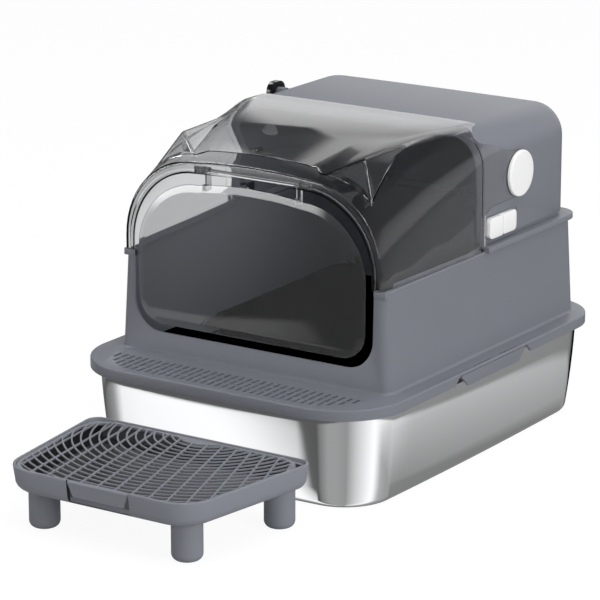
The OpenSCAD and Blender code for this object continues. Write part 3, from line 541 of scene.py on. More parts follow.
def make_frame():
    edge, foot_r, lip = 1.8, 4.0, 0.9
    low = frame_low.z
    rings = [at_z(flange(0.5), low), at_z(flange(0), low + 0.5)]
    rings += [at_z(flange(inset), FLANGE_Z - drop) for inset, drop in fillet(edge, 4)]
    rings += [at_z(wall(0, -out), FLANGE_Z + up) for up, out in fillet(foot_r, 4)]
    wall_top = [
        (0.95, 0, 6), (0.98, -lip, 2.6), (1, -lip, 1.2), (1, -lip / 2, 0.3), (1, 0.4, 0), (1, 2.2, 0),
        (1, WALL, 0.8),
    ]
    rings += [at_z(wall(share, inset), TOP_Z - drop) for share, inset, drop in wall_top]
    rings += [at_z(wall(0, WALL), PLATE_Z), at_z(flange(WALL), PLATE_Z), at_z(flange(WALL), low + 0.5)]
    rings += [at_z(flange(2.5), low)]
    bm = bmesh.new()
    skin(bm, rings, closed=True)
    obj = to_object(bm, "enclosure_frame")

    cut = bmesh.new()
    doorway = rounded(
        [(-DOOR_HW, SILL_Z), (DOOR_HW, SILL_Z), (DOOR_HW, TOP_Z + 60), (-DOOR_HW, TOP_Z + 60)], [SILL_R] * 4
    )
    skin(cut, [at_y(doorway, FOOT["front"] - 20), at_y(doorway, TOP_FRONT + 20)])
    combine(obj, cut, "DIFFERENCE")

    cut = bmesh.new()
    shelf_slots(cut)
    combine(obj, cut, "DIFFERENCE")

    cut = bmesh.new()
    for side in (-1, 1):
        clip_notch(cut, side)
        # slit across the top of the side wall, just behind the front
        side_block(
            cut, side, (TOP_HW - 4, TOP_FRONT + 1, TOP_Z - 8), (TOP_HW + 4, TOP_FRONT + 2.2, TOP_Z + 1)
        )
    combine(obj, cut, "DIFFERENCE")
    soften(obj, 0.5)
    finish(obj, "base", "grey", pp_grey, "base_frame")
    finish(make_rim(), "base", "grey", pp_grey, "base_frame")
    finish(make_frame_fittings(), "base", "grey", pp_grey, "base_frame")


def shelf_slots(bm):
    """Rows of slots in the shelf, fewer where its front corners turn back."""
    pitch, width, bridge, row = 9.8, 4.0, 2.5, 15
    corner, half = 60, FOOT["hw"] - 14
    front, back = frame_low.y + 13, FOOT["front"] - 27
    count = int((half - width) / pitch)
    for i in range(-count, count + 1):
        x = i * pitch
        dx = max(0, abs(x) - (half - corner))
        length = back - (front + corner - math.sqrt(corner * corner - dx * dx))
        rows = max(1, round(length / row))
        slot = (length + bridge) / rows - bridge
        if slot > width:
            for k in range(rows):
                y = back - slot - k * (slot + bridge)
                block(bm, (x - width / 2, y, PLATE_Z - 1), (x + width / 2, y + slot, FLANGE_Z + 1))


def clip_notch(bm, side):
    """Opening in the skirt round a side clip, with a V beside each end, and the slits above it."""
    vee, slit, bottom = 11, 40, frame_low.z - 1
    mid, half = (clip_low.y + clip_high.y) / 2, (clip_high.y - clip_low.y) / 2 + 5
    points = [
        (mid - half - vee, bottom), (mid + half + vee, bottom), (mid + half, PLATE_Z), (mid - half, PLATE_Z),
    ]
    side_plate(bm, side, [Vector(p) for p in points], frame_high.x - 6, frame_high.x + 10)
    for y in (mid - 42, mid + 17):
        side_block(
            bm, side, (frame_high.x - 4.4, y, PLATE_Z - 0.5), (frame_high.x - 2.2, y + slit, FLANGE_Z + 1)
        )


def cut_front(bm, y):
    """Cuts a ring open in front of y and closes its ends."""
    bmesh.ops.bisect_plane(
        bm, geom=bm.verts[:] + bm.edges[:] + bm.faces[:], plane_co=(0, y * MM, 0), plane_no=(0, -1, 0),
        clear_outer=True,
    )
    bmesh.ops.holes_fill(bm, edges=[e for e in bm.edges if e.is_boundary], sides=0)
    bmesh.ops.recalc_face_normals(bm, faces=bm.faces)


def make_rim():
    hw, back = TOP_HW + 6, TOP_BACK + 6
    levels = [
        (0.6, RIM_Z - 7), (0, RIM_Z - 6.4), (0, RIM_Z - 0.9), (0.3, RIM_Z - 0.3), (0.9, RIM_Z),
        (19.0, RIM_Z), (19.6, RIM_Z - 0.6), (20, RIM_Z - 3), (6.5, RIM_Z - 3), (6.5, RIM_Z - 7),
    ]
    rings = [at_z(plan(hw - d, RIM_FRONT - 60, back - d, 20, 26 - d), z) for d, z in levels]
    bm = bmesh.new()
    skin(bm, rings, closed=True)
    cut_front(bm, RIM_FRONT)
    return to_object(bm, "enclosure_rim")


def make_frame_fittings():
    """Post caps, the ledge and upstand under the cover, and the hood's keepers."""
    keeper_x, keeper_top = 168.2, 278.3
    front, back = hood_low.y + 6, hood_low.y + 16
    bm = bmesh.new()
    for side in (-1, 1):
        side_block(bm, side, (DOOR_HW, TOP_FRONT - 1, TOP_Z - 8), (TOP_HW, TOP_FRONT + 7, TOP_Z))
        side_block(bm, side, (TOP_HW - 9, TOP_FRONT, TOP_Z - WALL), (TOP_HW - 2, RIM_FRONT, TOP_Z - 0.1))
        side_block(bm, side, (TOP_HW - 9, TOP_FRONT + 25, TOP_Z - 1), (TOP_HW - 7, RIM_FRONT - 5, TOP_Z + 5))
        side_block(bm, side, (keeper_x, front, RIM_Z - 3), (keeper_x + WALL, back, keeper_top))
        side_block(bm, side, (keeper_x, front, keeper_top - WALL), (keeper_x + 8, back, keeper_top))
    obj = to_object(bm, "enclosure_fittings")
    soften(obj, 0.5)
    return obj


# ------------------------ hood

HOOD_R, HOOD_CROWN = 40, 0.5  # of its roof, at the shoulders and along the middle
HOOD_BACK_R, HOOD_HEEL = 35, 20  # of its rear edges, down the sides and across the roof


def hood_section(side, heel, inset, z0):
    """The hood's arch, narrower by side, lower by heel and drawn in."""
    return arch(
        hood_high.x - side - inset, z0, hood_high.z - heel - inset, HOOD_R - inset - side / 2, HOOD_CROWN
    )


def hood_solid(inset, z0, front):
    bm = bmesh.new()
    rings = [at_y(hood_section(0, 0, inset, z0), front)]
    for t in quarter_turn(8):
        side, heel = HOOD_BACK_R * (1 - math.cos(t)), HOOD_HEEL * (1 - math.cos(t))
        y = hood_high.y - HOOD_BACK_R + (HOOD_BACK_R - inset) * math.sin(t)
        rings.append(at_y(hood_section(side, heel, inset, z0), y))
    skin(bm, rings)
    return bm


def make_hood():
    obj = to_object(hood_solid(0, HOOD_Z, hood_low.y), "rear_hood_shell")
    combine(obj, hood_solid(3, HOOD_Z - 40, hood_low.y + 3), "DIFFERENCE")
    cut = bmesh.new()
    opening = arch(hood_high.x - 11.5, HOOD_Z - 40, hood_high.z - 10, 35, HOOD_CROWN)
    skin(cut, [at_y(opening, hood_low.y - 20), at_y(opening, hood_low.y + 20)])
    # shallow pocket that each latch slides back in
    margin, travel, depth = 1.5, 8, 1.2
    latch_low, latch_high = box_mm("hood_latch_right")
    y0, y1 = latch_low.y - margin, latch_high.y + margin + travel
    z0, z1 = latch_low.z - margin, latch_high.z + margin
    pocket = rounded([(y0, z0), (y1, z0), (y1, z1), (y0, z1)], [6] * 4, 6)
    for side in (-1, 1):
        side_plate(cut, side, pocket, hood_high.x - depth, hood_high.x + 20)
    combine(obj, cut, "DIFFERENCE")
    soften(obj, 0.5)
    finish(obj, "base", "grey", pp_grey, "rear_hood")

    rings = [
        at_z(plan(hood_high.x - 3 - d, hood_low.y - 60, hood_high.y - 3 - d, 30, 32 - d), z)
        for d, z in ((0, RIM_Z), (0, HOOD_Z + 3), (3, HOOD_Z + 3), (3, RIM_Z))
    ]
    bm = bmesh.new()
    skin(bm, rings, closed=True)
    cut_front(bm, hood_low.y)
    finish(to_object(bm, "rear_hood_neck"), "base", "grey", pp_grey, "rear_hood")


# ------------------------ cover

# distance behind the face, half-width, apex height, shoulder radius, crown
COVER_SECTIONS = [
    (0, 177.5, 367, 100, 4), (27, 179, 373.5, 95, 3), (104, 181, 387, 80, 2), (179, 182.2, 391, 60, 1),
    (222, 182.5, 392, 42, 0.5),
]
FACE_ROUND = 2.5  # radius of the face's edge
EAR_R, BEAD_R = 4, 0.9  # radii of the ears' edges, and of the fine beads on the cover
BEAD_STEPS = 12  # chords in a bead along an ear's foot
# ear corners: sideways, behind the face, below the face's top
EAR = [(86, 17, 6.5), (125, 47, -13), (151, 22, 33.5), (127, 126, -15)]
EAR_EDGES = [(0, 1), (3, 1), (2, 1)]  # pairs of those corners
EAR_FEET = [(0, 2), (3, 2)]
# half of the crease across the roof between the ears: sideways, behind the face
CREASE = [(86, 17), (80, 22), (75, 26.5), (60, 27.5), (45, 28), (30, 28.5), (15, 29), (0, 29)]


def cover_sizes(distance):
    """Half-width, apex height, shoulder radius and crown at a distance behind the face."""
    below = max(s for s in COVER_SECTIONS if s[0] <= distance)
    above = min((s for s in COVER_SECTIONS if s[0] >= distance), default=COVER_SECTIONS[-1])
    t = 0 if above[0] == below[0] else (distance - below[0]) / (above[0] - below[0])
    return [a + (b - a) * t for a, b in zip(below[1:], above[1:])]


def cover_section(distance, inset, z0, shrink=0):
    hw, top, r, crown = cover_sizes(distance)
    return arch(hw - inset - shrink, z0, top - inset - shrink, r - inset, crown)


def cover_roof(x, distance):
    """Height of the cover's outside at a place on its roof."""
    hw, top, r, crown = cover_sizes(distance)
    run = abs(x) - (hw - r)
    if run <= 0:
        return top - crown * (x / (hw - r)) ** 2
    return top - crown - r + math.sqrt(r * r - run * run)


def cover_solid(inset, z0):
    bm = bmesh.new()
    rings = []
    for back, shrink in fillet(FACE_ROUND, 4):
        rings.append(at_y(cover_section(0, inset, z0, shrink), cover_low.y + inset + back))
    rings += [at_y(cover_section(s[0], inset, z0), cover_low.y + s[0]) for s in COVER_SECTIONS[1:]]
    rings.append(at_y(cover_section(COVER_SECTIONS[-1][0], inset, z0), pivot_y + 60))
    skin(bm, rings)
    return bm


def ear_solid(side, r):
    bm = bmesh.new()
    for x, back, drop in EAR:
        made = bmesh.ops.create_icosphere(bm, subdivisions=3, radius=r * MM)["verts"]
        bmesh.ops.translate(bm, verts=made, vec=Vector((side * x, cover_low.y + back, FACE_TOP - drop)) * MM)
    hull = bmesh.ops.convex_hull(bm, input=bm.verts)
    bmesh.ops.delete(bm, geom=hull["geom_interior"], context="VERTS")
    bmesh.ops.recalc_face_normals(bm, faces=bm.faces)
    return bm


def ear_beads(bm, side):
    """Fine beads along the ear's edges, half sunk in it, and on the roof along its feet."""
    points = [Vector((side * x, cover_low.y + back, FACE_TOP - drop)) for x, back, drop in EAR]
    middle = sum(points, Vector()) / len(points)
    for i, j in EAR_EDGES:
        run = (points[j] - points[i]).normalized()
        out = (points[i] + points[j]) / 2 - middle
        out = (out - run * out.dot(run)).normalized() * (EAR_R - 0.3)
        bead(bm, [points[i], points[i] + run * 3 + out, points[j] + out], BEAD_R)
    for i, j in EAR_FEET:
        path = []
        for k in range(BEAD_STEPS + 1):
            x, back = (EAR[i][n] + (EAR[j][n] - EAR[i][n]) * k / BEAD_STEPS for n in (0, 1))
            path.append(Vector((side * x, cover_low.y + back, cover_roof(x, back) - 0.2)))
        bead(bm, path, BEAD_R)


def edge_beads(bm):
    """Beads round the arch on the cover's face, and down its sides near the rear edge."""
    outline = arch(ARCH_HW + 5, cover_low.z + 1, ARCH_TOP + 5, ARCH_R + 5, ARCH_CROWN)
    bead(bm, at_y(outline[:1] + outline[:0:-1], cover_low.y + 0.3), 0.8)
    distance = 214
    section = cover_section(distance, 0.3, cover_low.z + 1)
    rear = [p for p in section[1:] if p.x > 0 and p.y < cover_high.z - 4]
    for side in (-1, 1):
        bead(bm, [Vector((side * p.x, cover_low.y + distance, p.y)) for p in rear], BEAD_R)


def cover_side():
    """The cover's side view right across it: its wings reach back to the pivots under a curved rear edge."""
    rear, z = hood_low.y, pivot_z
    points = [
        (cover_low.y - 1, cover_low.z), (rear, cover_low.z), (rear, z - 36), (rear + 14, z - 29),
        (rear + 49, z - 28), (pivot_y, z - 28), (pivot_y, z + 28), (rear + 53, z + 31), (rear + 24, z + 43),
        (rear + 6, z + 47), (rear - 3, z + 51), (rear - 5, z + 55), (rear - 1, z + 60), (rear + 10, z + 63.5),
        (rear + 26, z + 65), (rear + 26, cover_high.z + 10), (cover_low.y - 1, cover_high.z + 10),
    ]
    outline = [Vector(p) for p in points]
    bm = bmesh.new()
    skin(bm, [at_x(outline, -200), at_x(outline, 200)])
    return bm


def arch_return(bm):
    """The lip that turns back round the cover's opening."""
    def run(grow):
        outline = arch(ARCH_HW + grow, cover_low.z, ARCH_TOP + grow, ARCH_R + grow, ARCH_CROWN)
        return outline[1:] + outline[:1]
    ring = run(2) + run(0)[::-1]
    skin(bm, [at_y(ring, cover_low.y + 1.5), at_y(ring, cover_low.y + 4.5)])


def hinge_bosses(bm):
    """Bosses behind the face for the ends of the door's pin."""
    r, inner = 4.1, ARM_OUT + 0.3
    for side in (-1, 1):
        side_block(bm, side, (inner, cover_low.y + 2, hinge_z - r), (pin_high.x, hinge_y, hinge_z + r))
        rod(bm, r, (side * inner, hinge_y, hinge_z), (side * pin_high.x, hinge_y, hinge_z))


def make_cover():
    obj = to_object(cover_solid(0, cover_low.z), "flip_cover_shell")
    for side in (-1, 1):
        combine(obj, ear_solid(side, EAR_R), "UNION")
    soften(obj, 1.6, angle=28)
    combine(obj, cover_solid(COVER_T, cover_low.z - 60), "DIFFERENCE")
    for side in (-1, 1):
        combine(obj, ear_solid(side, EAR_R - COVER_T), "DIFFERENCE")
    cut = bmesh.new()
    opening = arch(ARCH_HW, cover_low.z - 60, ARCH_TOP, ARCH_R, ARCH_CROWN)
    skin(cut, [at_y(opening, cover_low.y - 20), at_y(opening, cover_low.y + COVER_T + 3)])
    combine(obj, cut, "DIFFERENCE")
    lip = bmesh.new()
    arch_return(lip)
    combine(obj, lip, "UNION")
    crease = bmesh.new()
    half = [Vector((x, cover_low.y + d, cover_roof(x, d) - 0.3)) for x, d in CREASE]
    bead(crease, [Vector((-p.x, p.y, p.z)) for p in half] + half[-2::-1], 1.2)
    for side in (-1, 1):
        ear_beads(crease, side)
    edge_beads(crease)
    combine(obj, crease, "UNION")
    combine(obj, cover_side(), "INTERSECT")
    bosses = bmesh.new()
    hinge_bosses(bosses)
    combine(obj, bosses, "UNION")
    soften(obj, 0.4, angle=55)
    finish(obj, "cover", "clear", smoke_clear, "flip_cover", smooth=30)


# ------------------------ door

RIM_W, RIM_D = 9.0, 1.8  # the door's bevelled rim: width on its face and depth
DOOR_LOW_R, DOOR_R = 34, 85  # its lower corners and its shoulders
DOOR_GAP, DOOR_CROWN = 9.5, 5.5  # its top below the arch's, and the rise of that top
ARM_IN, ARM_OUT = 60, 66  # its hinge arms, from the middle
ARM_LOW, ARM_TOP = 330, 337.4


def door_outline(inset):
    hw, low_r = door_high.x - inset, DOOR_LOW_R - inset
    z = door_low.z + DOOR_LOW_R
    quarter = quarter_turn(STEPS)
    left = [Vector((-hw + low_r - low_r * math.cos(t), z - low_r * math.sin(t))) for t in quarter]
    right = [Vector((hw - low_r + low_r * math.sin(t), z - low_r * math.cos(t))) for t in quarter]
    return left + right + arch(hw, 0, ARCH_TOP - DOOR_GAP - inset, DOOR_R - inset, DOOR_CROWN)[2:]


def make_door():
    front = door_low.y
    profile = [
        (0.5, 2.5), (0.15, 2.35), (0, 2.05), (0.1, RIM_D), (0.5, RIM_D - 0.25), (RIM_W - 0.8, 0.12),
        (RIM_W, 0),
    ]
    rings = [at_y(door_outline(inset), front + back) for inset, back in profile]
    bm = bmesh.new()
    skin(bm, rings)
    obj = to_object(bm, "door_panel")
    arms = bmesh.new()
    for side in (-1, 1):
        side_block(arms, side, (ARM_IN, front + 2, ARM_LOW), (ARM_OUT, hinge_y + 2, ARM_TOP))
        side_block(arms, side, (ARM_IN, hinge_y - 2, ARM_LOW), (ARM_OUT, hinge_y + 2, hinge_z))
        rod(arms, 3.5, (side * ARM_IN, hinge_y, hinge_z), (side * ARM_OUT, hinge_y, hinge_z), 24)
    combine(obj, arms, "UNION")
    finish(obj, "door", "clear", door_clear, "door_flap", smooth=9)


# ------------------------ pivot caps

def make_pivot_caps():
    """Round caps, a little domed, each in one piece with its stud."""
    r, edge, stud_r = (cap_high.z - cap_low.z) / 2, 2.0, 8
    x0, x1 = cap_high.x - 5, cap_high.x
    profile = [(0, cap_low.x), (stud_r, cap_low.x), (stud_r, x0 - 2), (stud_r, x0)]
    profile += [(r - 0.4, x0), (r, x0 + 0.4)]
    profile += [(r - inset, x1 - 0.5 - drop) for inset, drop in fillet(edge)]
    profile += [(r - 8, x1 - 0.3), (r / 2, x1 - 0.1), (0, x1)]
    for side, name in SIDES:
        bm = bmesh.new()
        turned(bm, profile, (0, pivot_y, pivot_z), (side, 0, 0))
        cap = to_object(bm, "pivot_cap_" + name + "_disc")
        finish(cap, "base", "white", abs_white, "pivot_cap_" + name, smooth=40)


# ------------------------ side clips

def make_clips():
    """Flared plates in the skirt, each with its hinge barrel and the hook that grips the pan's lip."""
    mid = (clip_low.y + clip_high.y) / 2
    foot, flare, top = 59.0, 16, PLATE_Z - 1
    half = foot + flare / (PLATE_Z - clip_low.z) * (top - clip_low.z)
    outline = rounded(
        [(mid - foot, clip_low.z), (mid + foot, clip_low.z), (mid + half, top), (mid - half, top)],
        [4, 4, 0.5, 0.5], 6,
    )
    barrel_r, hook_t, hook_half = 1.9, 3.4, 30
    hook_low = pan_high.z - SHEET - 0.3 - hook_t
    for side, name in SIDES:
        bm = bmesh.new()
        side_plate(bm, side, outline, frame_high.x - 2.7, frame_high.x)
        obj = to_object(bm, "side_clip_" + name + "_moulding")
        extra = bmesh.new()
        axis_x, axis_z = side * (frame_high.x - barrel_r), PLATE_Z - 2.2
        rod(extra, barrel_r, (axis_x, mid - half + 2, axis_z), (axis_x, mid + half - 2, axis_z), 16)
        side_block(
            extra, side, (clip_low.x, mid - hook_half, hook_low),
            (frame_high.x - 2, mid + hook_half, hook_low + hook_t),
        )
        combine(obj, extra, "UNION")
        soften(obj, 0.5)
        finish(obj, "clip_" + name, "grey", pp_grey, "side_clip_" + name)


# ------------------------ step

TRAY_T, TRAY_FILLET, TRAY_DRAFT = 3.0, 12.0, 2.0
STEP_X = (tray_low.x + tray_high.x) / 2
STEP_FRONT_HW, STEP_BACK_HW = 127.0, (tray_high.x - tray_low.x) / 2
STEP_FRONT_R, STEP_BACK_R = 39, 15
TAB_LOW, TAB_HIGH = STEP_X + 4 - 42, STEP_X + 4 + 42  # notch in the tray's front wall for the pull tab
GRID_Z = tray_high.z - 4.6  # the ledge that the grid lies on
GRID_T, GRID_EDGE, GRID_BAR, LATTICE_T = 3.0, 4.0, 1.9, 1.5
GRID_ROUND = 0.6  # its rounded edges
LONG_PITCH, ARC_PITCH, GRID_R = 21.0, 10.4, 36.0
LONG_BARS, ARCS = 10, 23  # long bars on each side of the middle one, and arcs
LONG_HALF, ARC_STEPS = 220, 90  # half of a long bar's length, and chords in an arc's circle
TONGUE_R, ARC_SETBACK = 38.0, 18.0  # solid middle of the arcs, and their centre behind the step
LEAN, FAN = 13.5, 1.1  # of the middle long bar, and from one to the next, in degrees


def step_ring(inset, z, back_r=STEP_BACK_R):
    front, back = tray_low.y + inset, tray_high.y - inset
    points = [
        (STEP_X - STEP_FRONT_HW + inset, front), (STEP_X + STEP_FRONT_HW - inset, front),
        (STEP_X + STEP_BACK_HW - inset, back), (STEP_X - STEP_BACK_HW + inset, back),
    ]
    front_r, back_r = STEP_FRONT_R - inset / 2, max(2, back_r - inset / 2)
    return at_z(rounded(points, [front_r, front_r, back_r, back_r]), z)


def lattice():
    """Long fanned bars crossed by arcs."""
    centre = Vector((STEP_X, tray_high.y + ARC_SETBACK))
    middle = (tray_low.y + tray_high.y) / 2
    top, half = GRID_Z + GRID_T - 0.1, GRID_BAR / 2
    turns = [2 * math.pi * k / ARC_STEPS for k in range(ARC_STEPS)]
    bm = bmesh.new()
    for k in range(ARCS):
        mid_r, foot = TONGUE_R + ARC_PITCH * (k + 0.6), top - LATTICE_T
        rings = []
        for r, z in ((mid_r - half, foot), (mid_r - half, top), (mid_r + half, top), (mid_r + half, foot)):
            rings.append(at_z([centre + r * Vector((math.cos(t), math.sin(t))) for t in turns], z))
        skin(bm, rings, closed=True)
    for i in range(-LONG_BARS, LONG_BARS + 1):
        bar = block(bm, (-half, -LONG_HALF, top - LATTICE_T - 0.2), (half, LONG_HALF, top + 0.1))
        turn = Matrix.Rotation(math.radians(LEAN + i * FAN), 4, "Z")
        place = Matrix.Translation(Vector((STEP_X + i * LONG_PITCH, middle, 0)) * MM)
        bmesh.ops.transform(bm, matrix=place @ turn, verts=bar)
    return bm


def tab_face(inset, radii):
    """The pull tab's outline in X and Z, narrower at its foot and drawn in."""
    low, high, taper = TAB_LOW + 1 + inset, TAB_HIGH - 1 - inset, 7.0
    foot, top = GRID_Z - 14 + inset, GRID_Z + GRID_T - inset
    return rounded([(low + taper, foot), (high - taper, foot), (high, top), (low, top)], radii, 5)


def pull_tab(bm, gap):
    """Tab in the tray's front wall, its foot set back, and its bridge to the grid's rim."""
    front, top = tray_low.y, GRID_Z + GRID_T
    plate, face = tab_face(0, [2, 2, 0.8, 0.8]), tab_face(GRID_ROUND, [1.5, 1.5, 0.6, 0.6])
    skin(bm, [
        [Vector((p.x, front + y + (top - p.y) * 0.06, p.y)) for p in outline]
        for outline, y in ((plate, 3.2), (plate, GRID_ROUND), (face, 0))
    ])
    block(bm, (TAB_LOW + 1, front + 1, GRID_Z), (TAB_HIGH - 1, front + gap + GRID_EDGE, top - 0.2))


def make_grid():
    """Lattice cut to the tray, with its rim, the solid tongue at its back and the pull tab."""
    gap, top, edge = TRAY_T + 0.6, GRID_Z + GRID_T, GRID_ROUND
    obj = to_object(lattice(), "step_grid_moulding")
    clip = bmesh.new()
    skin(clip, [step_ring(gap + GRID_EDGE / 2, z, GRID_R) for z in (GRID_Z - 5, top + 5)])
    combine(obj, clip, "INTERSECT")
    bm = bmesh.new()
    bm.from_mesh(obj.data)
    inner = gap + GRID_EDGE
    rim = [
        (gap, GRID_Z), (gap, top - edge), (gap + edge, top), (inner - edge, top), (inner, top - edge),
        (inner, GRID_Z),
    ]
    skin(bm, [step_ring(inset, z, GRID_R) for inset, z in rim], closed=True)
    start = math.asin((ARC_SETBACK + gap + 1) / TONGUE_R)
    turns = [start + (math.pi - 2 * start) * k / 24 for k in range(25)]
    back = tray_high.y + ARC_SETBACK
    tongue = [Vector((STEP_X - TONGUE_R * math.cos(t), back - TONGUE_R * math.sin(t))) for t in turns]
    skin(bm, [at_z(tongue, GRID_Z), at_z(tongue, top)])
    pull_tab(bm, gap)
    bm.to_mesh(obj.data)
    bm.free()
    finish(obj, "grid", "grey", pp_step, "step_grid", smooth=30)


def make_tray():
    """Tray with rounded foot and rim, a ledge for the grid, and its hollow's faces marked for the painted
    shade.
    """
    low, top = tray_low.z, tray_high.z
    hollow, floor_r = 7.5, 6  # the hollow's inset below the ledge, and its radius at the floor
    rings = [step_ring(TRAY_DRAFT + inset, low + up) for up, inset in fillet(TRAY_FILLET)]
    rim_and_ledge = [
        (0.2, top - 2), (0.4, top - 0.8), (1, top - 0.15), (1.6, top), (2.4, top), (TRAY_T, top - 0.6),
        (TRAY_T, GRID_Z), (7, GRID_Z),
    ]
    rings += [step_ring(inset, z) for inset, z in rim_and_ledge]
    for t in quarter_turn(4):
        rings.append(step_ring(hollow + floor_r * math.sin(t), low + TRAY_T + floor_r * (1 - math.sin(t))))
    bm = bmesh.new()
    skin(bm, rings)
    obj = to_object(bm, "step_tray_moulding")
    cut = bmesh.new()
    block(cut, (TAB_LOW, tray_low.y - 20, low + TRAY_T), (TAB_HIGH, tray_low.y + 8, top + 20))
    block(cut, (TAB_LOW, tray_low.y - 20, low + 1), (TAB_HIGH, tray_low.y + 3, top + 20))
    combine(obj, cut, "DIFFERENCE")
    soften(obj, 0.6)
    middle = Vector((STEP_X, (tray_low.y + tray_high.y) / 2))
    # faces of the hollow under the grid take the painted shade colour
    inside = obj.data.attributes.new("inside", "FLOAT", "FACE")
    for face, mark in zip(obj.data.polygons, inside.data):
        centre = face.center / MM
        inwards = face.normal.dot((centre.x - middle.x, centre.y - middle.y, -60)) < 0
        mark.value = float(inwards and low + 1 < centre.z < GRID_Z - 0.5)
    finish(obj, "step", "grey", pp_step, "step_tray")


def make_legs():
    """Round legs with a rounded foot and a thinner peg at the top."""
    foot_r, peg_r, shoulder = 8, 6, tray_low.z - 0.4
    for place in ("front_left", "front_right", "back_left", "back_right"):
        leg_low, leg_high = box_mm("step_leg_" + place)
        middle, r = (leg_low + leg_high) / 2, (leg_high.x - leg_low.x) / 2
        profile = [(0, 0)] + [(r - inset, up) for up, inset in fillet(foot_r)]
        profile += [(r, shoulder), (peg_r, shoulder), (peg_r, leg_high.z), (0, leg_high.z)]
        bm = bmesh.new()
        turned(bm, profile, (middle.x, middle.y, 0), (0, 0, 1))
        leg = to_object(bm, "step_leg_" + place + "_moulding")
        finish(leg, "step", "grey", pp_step, "step_leg_" + place, smooth=50)


# ------------------------ camera and light

CAMERA_PLACE = (2.05336, -3.18903, 1.23044)  # metres
CAMERA_YAW, CAMERA_PITCH = 33.5684, 15.717  # degrees to the left and down
FOCAL, FRAME_SIDE, SENSOR = 3271.2345, 600, 36  # focal length and frame in pixels, and sensor in mm
AIM = (0, -0.1, 0.2)  # where the lamps point, in metres

# what gloss sees low down, by bearing from the front towards the right: degrees, strength
LOW_GLOW = [
    (-180, 0.50), (-146, 0.33), (-123, 0.30), (-94, 0.30), (-83, 0.33), (-71, 0.40), (-60, 0.65), (-49, 1.05),
    (-42, 1.2), (-36.8, 1.3), (-34.8, 1.15), (-33.9, 1.0), (-33.0, 0.8), (-31.7, 0.7), (-31.4, 0.5),
    (-31.1, 0.13), (-28, 0.12), (-21.9, 0.26), (-5.8, 0.41), (15, 0.41), (35, 0.36), (56, 0.75), (80, 1.12),
    (92, 1.3), (118, 1.1), (130, 0.95), (143.7, 0.95), (145, 0.9), (146.4, 0.8), (148, 0.72), (149.5, 0.68),
    (180, 0.68),
]
# what it sees higher up behind the box, by height: degrees, strength
HIGH_GLOW = [
    (-16, 0.0), (-5, 0.05), (2, 0.6), (8, 1.3), (15, 1.6), (20, 1.4), (28, 1.05), (40, 0.9), (48, 0.1),
    (90, 0.1),
]
AROUND = 0.12  # its strength higher up everywhere else
NOT_BEHIND = (-142.9, 170)  # the bearings of everywhere else
DARK_PATCH = (-144.95, -100, 20.8, 47)  # and a dark patch behind: bearing from, to, height from, to
# strips of light for the highlights: bearing from, to, height from, to, strength
STRIPS = [
    (-68, -26, -4, 10, 8.0), (86, 112, 32, 58, 9.0), (-128, -98, 38, 60, 9.0), (120, 175, 2, 24, 0.7),
    (100, 178, -22, 50, 0.22), (-134, -100, -18, -3, 0.6), (-200, -145, 25, 41, 1.1),
]


def make_camera():
    data = bpy.data.cameras.new("camera")
    data.lens = FOCAL / FRAME_SIDE * SENSOR
    data.sensor_width = SENSOR
    data.clip_end = 50
    camera = bpy.data.objects.new("camera", data)
    camera.location = CAMERA_PLACE
    camera.rotation_euler = (math.pi / 2 - math.radians(CAMERA_PITCH), 0, math.radians(CAMERA_YAW))
    bpy.context.scene.collection.objects.link(camera)
    bpy.context.scene.camera = camera


def softbox(name, place, size, power):
    """Square lamp that gloss doesn't see, because the world holds what gloss sees."""
    data = bpy.data.lights.new(name, "AREA")
    data.shape = "RECTANGLE"
    data.size = data.size_y = size
    data.energy = power
    light = bpy.data.objects.new(name, data)
    light.location = place
    light.rotation_euler = (Vector(AIM) - Vector(place)).to_track_quat("-Z", "Y").to_euler()
    light.visible_glossy = False
    bpy.context.scene.collection.objects.link(light)


def glow_ramp(tree, angle, stops):
    """Strength by angle, through a ramp of (degrees, strength) stops, halved in it and doubled after it."""
    low, high = stops[0][0], stops[-1][0]
    share = add(tree, "MapRange", [(angle, "Value")], From_Min=math.radians(low), From_Max=math.radians(high))
    ramp = add(tree, "ValToRGB", [(share, "Fac")])
    bands = ramp.color_ramp.elements
    while len(bands) < len(stops):
        bands.new(0.5)
    for band, (degrees, strength) in zip(bands, stops):
        band.position = math.radians(degrees - low) / math.radians(high - low)
        band.color = (strength / 2, strength / 2, strength / 2, 1)
    return add(tree, "Math", [(ramp, 0), (2, 1)], operation="MULTIPLY")


def window(tree, angle, low, high, edge):
    """1 between two angles and 0 outside them, with soft ends."""
    rise, fall = (
        add(
            tree, "MapRange", [(angle, "Value")], interpolation_type="SMOOTHSTEP", To_Min=start,
            From_Min=math.radians(end - edge), From_Max=math.radians(end + edge), To_Max=1 - start,
        )
        for end, start in ((low, 0.0), (high, 1.0))
    )
    return add(tree, "Math", [(rise, 0), (fall, 1)], operation="MULTIPLY")


def patch(tree, bearing, height, place, edges):
    """1 inside a patch of the surroundings and 0 outside it, with soft edges."""
    across = window(tree, bearing, place[0], place[1], edges[0])
    upwards = window(tree, height, place[2], place[3], edges[1])
    return add(tree, "Math", [(across, 0), (upwards, 1)], operation="MULTIPLY")


def low_light(tree, bearing, height):
    """What gloss sees low down, dimmer towards the ground at the back right."""
    side = window(tree, bearing, 105, 175, 12)
    fade = add(
        tree, "MapRange", [(height, "Value")],
        From_Min=math.radians(-27), From_Max=math.radians(-20), To_Min=0.45, To_Max=1.0,
    )
    shade = add(tree, "Mix", [(side, "Factor"), (1.0, "A"), (fade, "B")])
    return add(tree, "Math", [(glow_ramp(tree, bearing, LOW_GLOW), 0), (shade, 1)], operation="MULTIPLY")


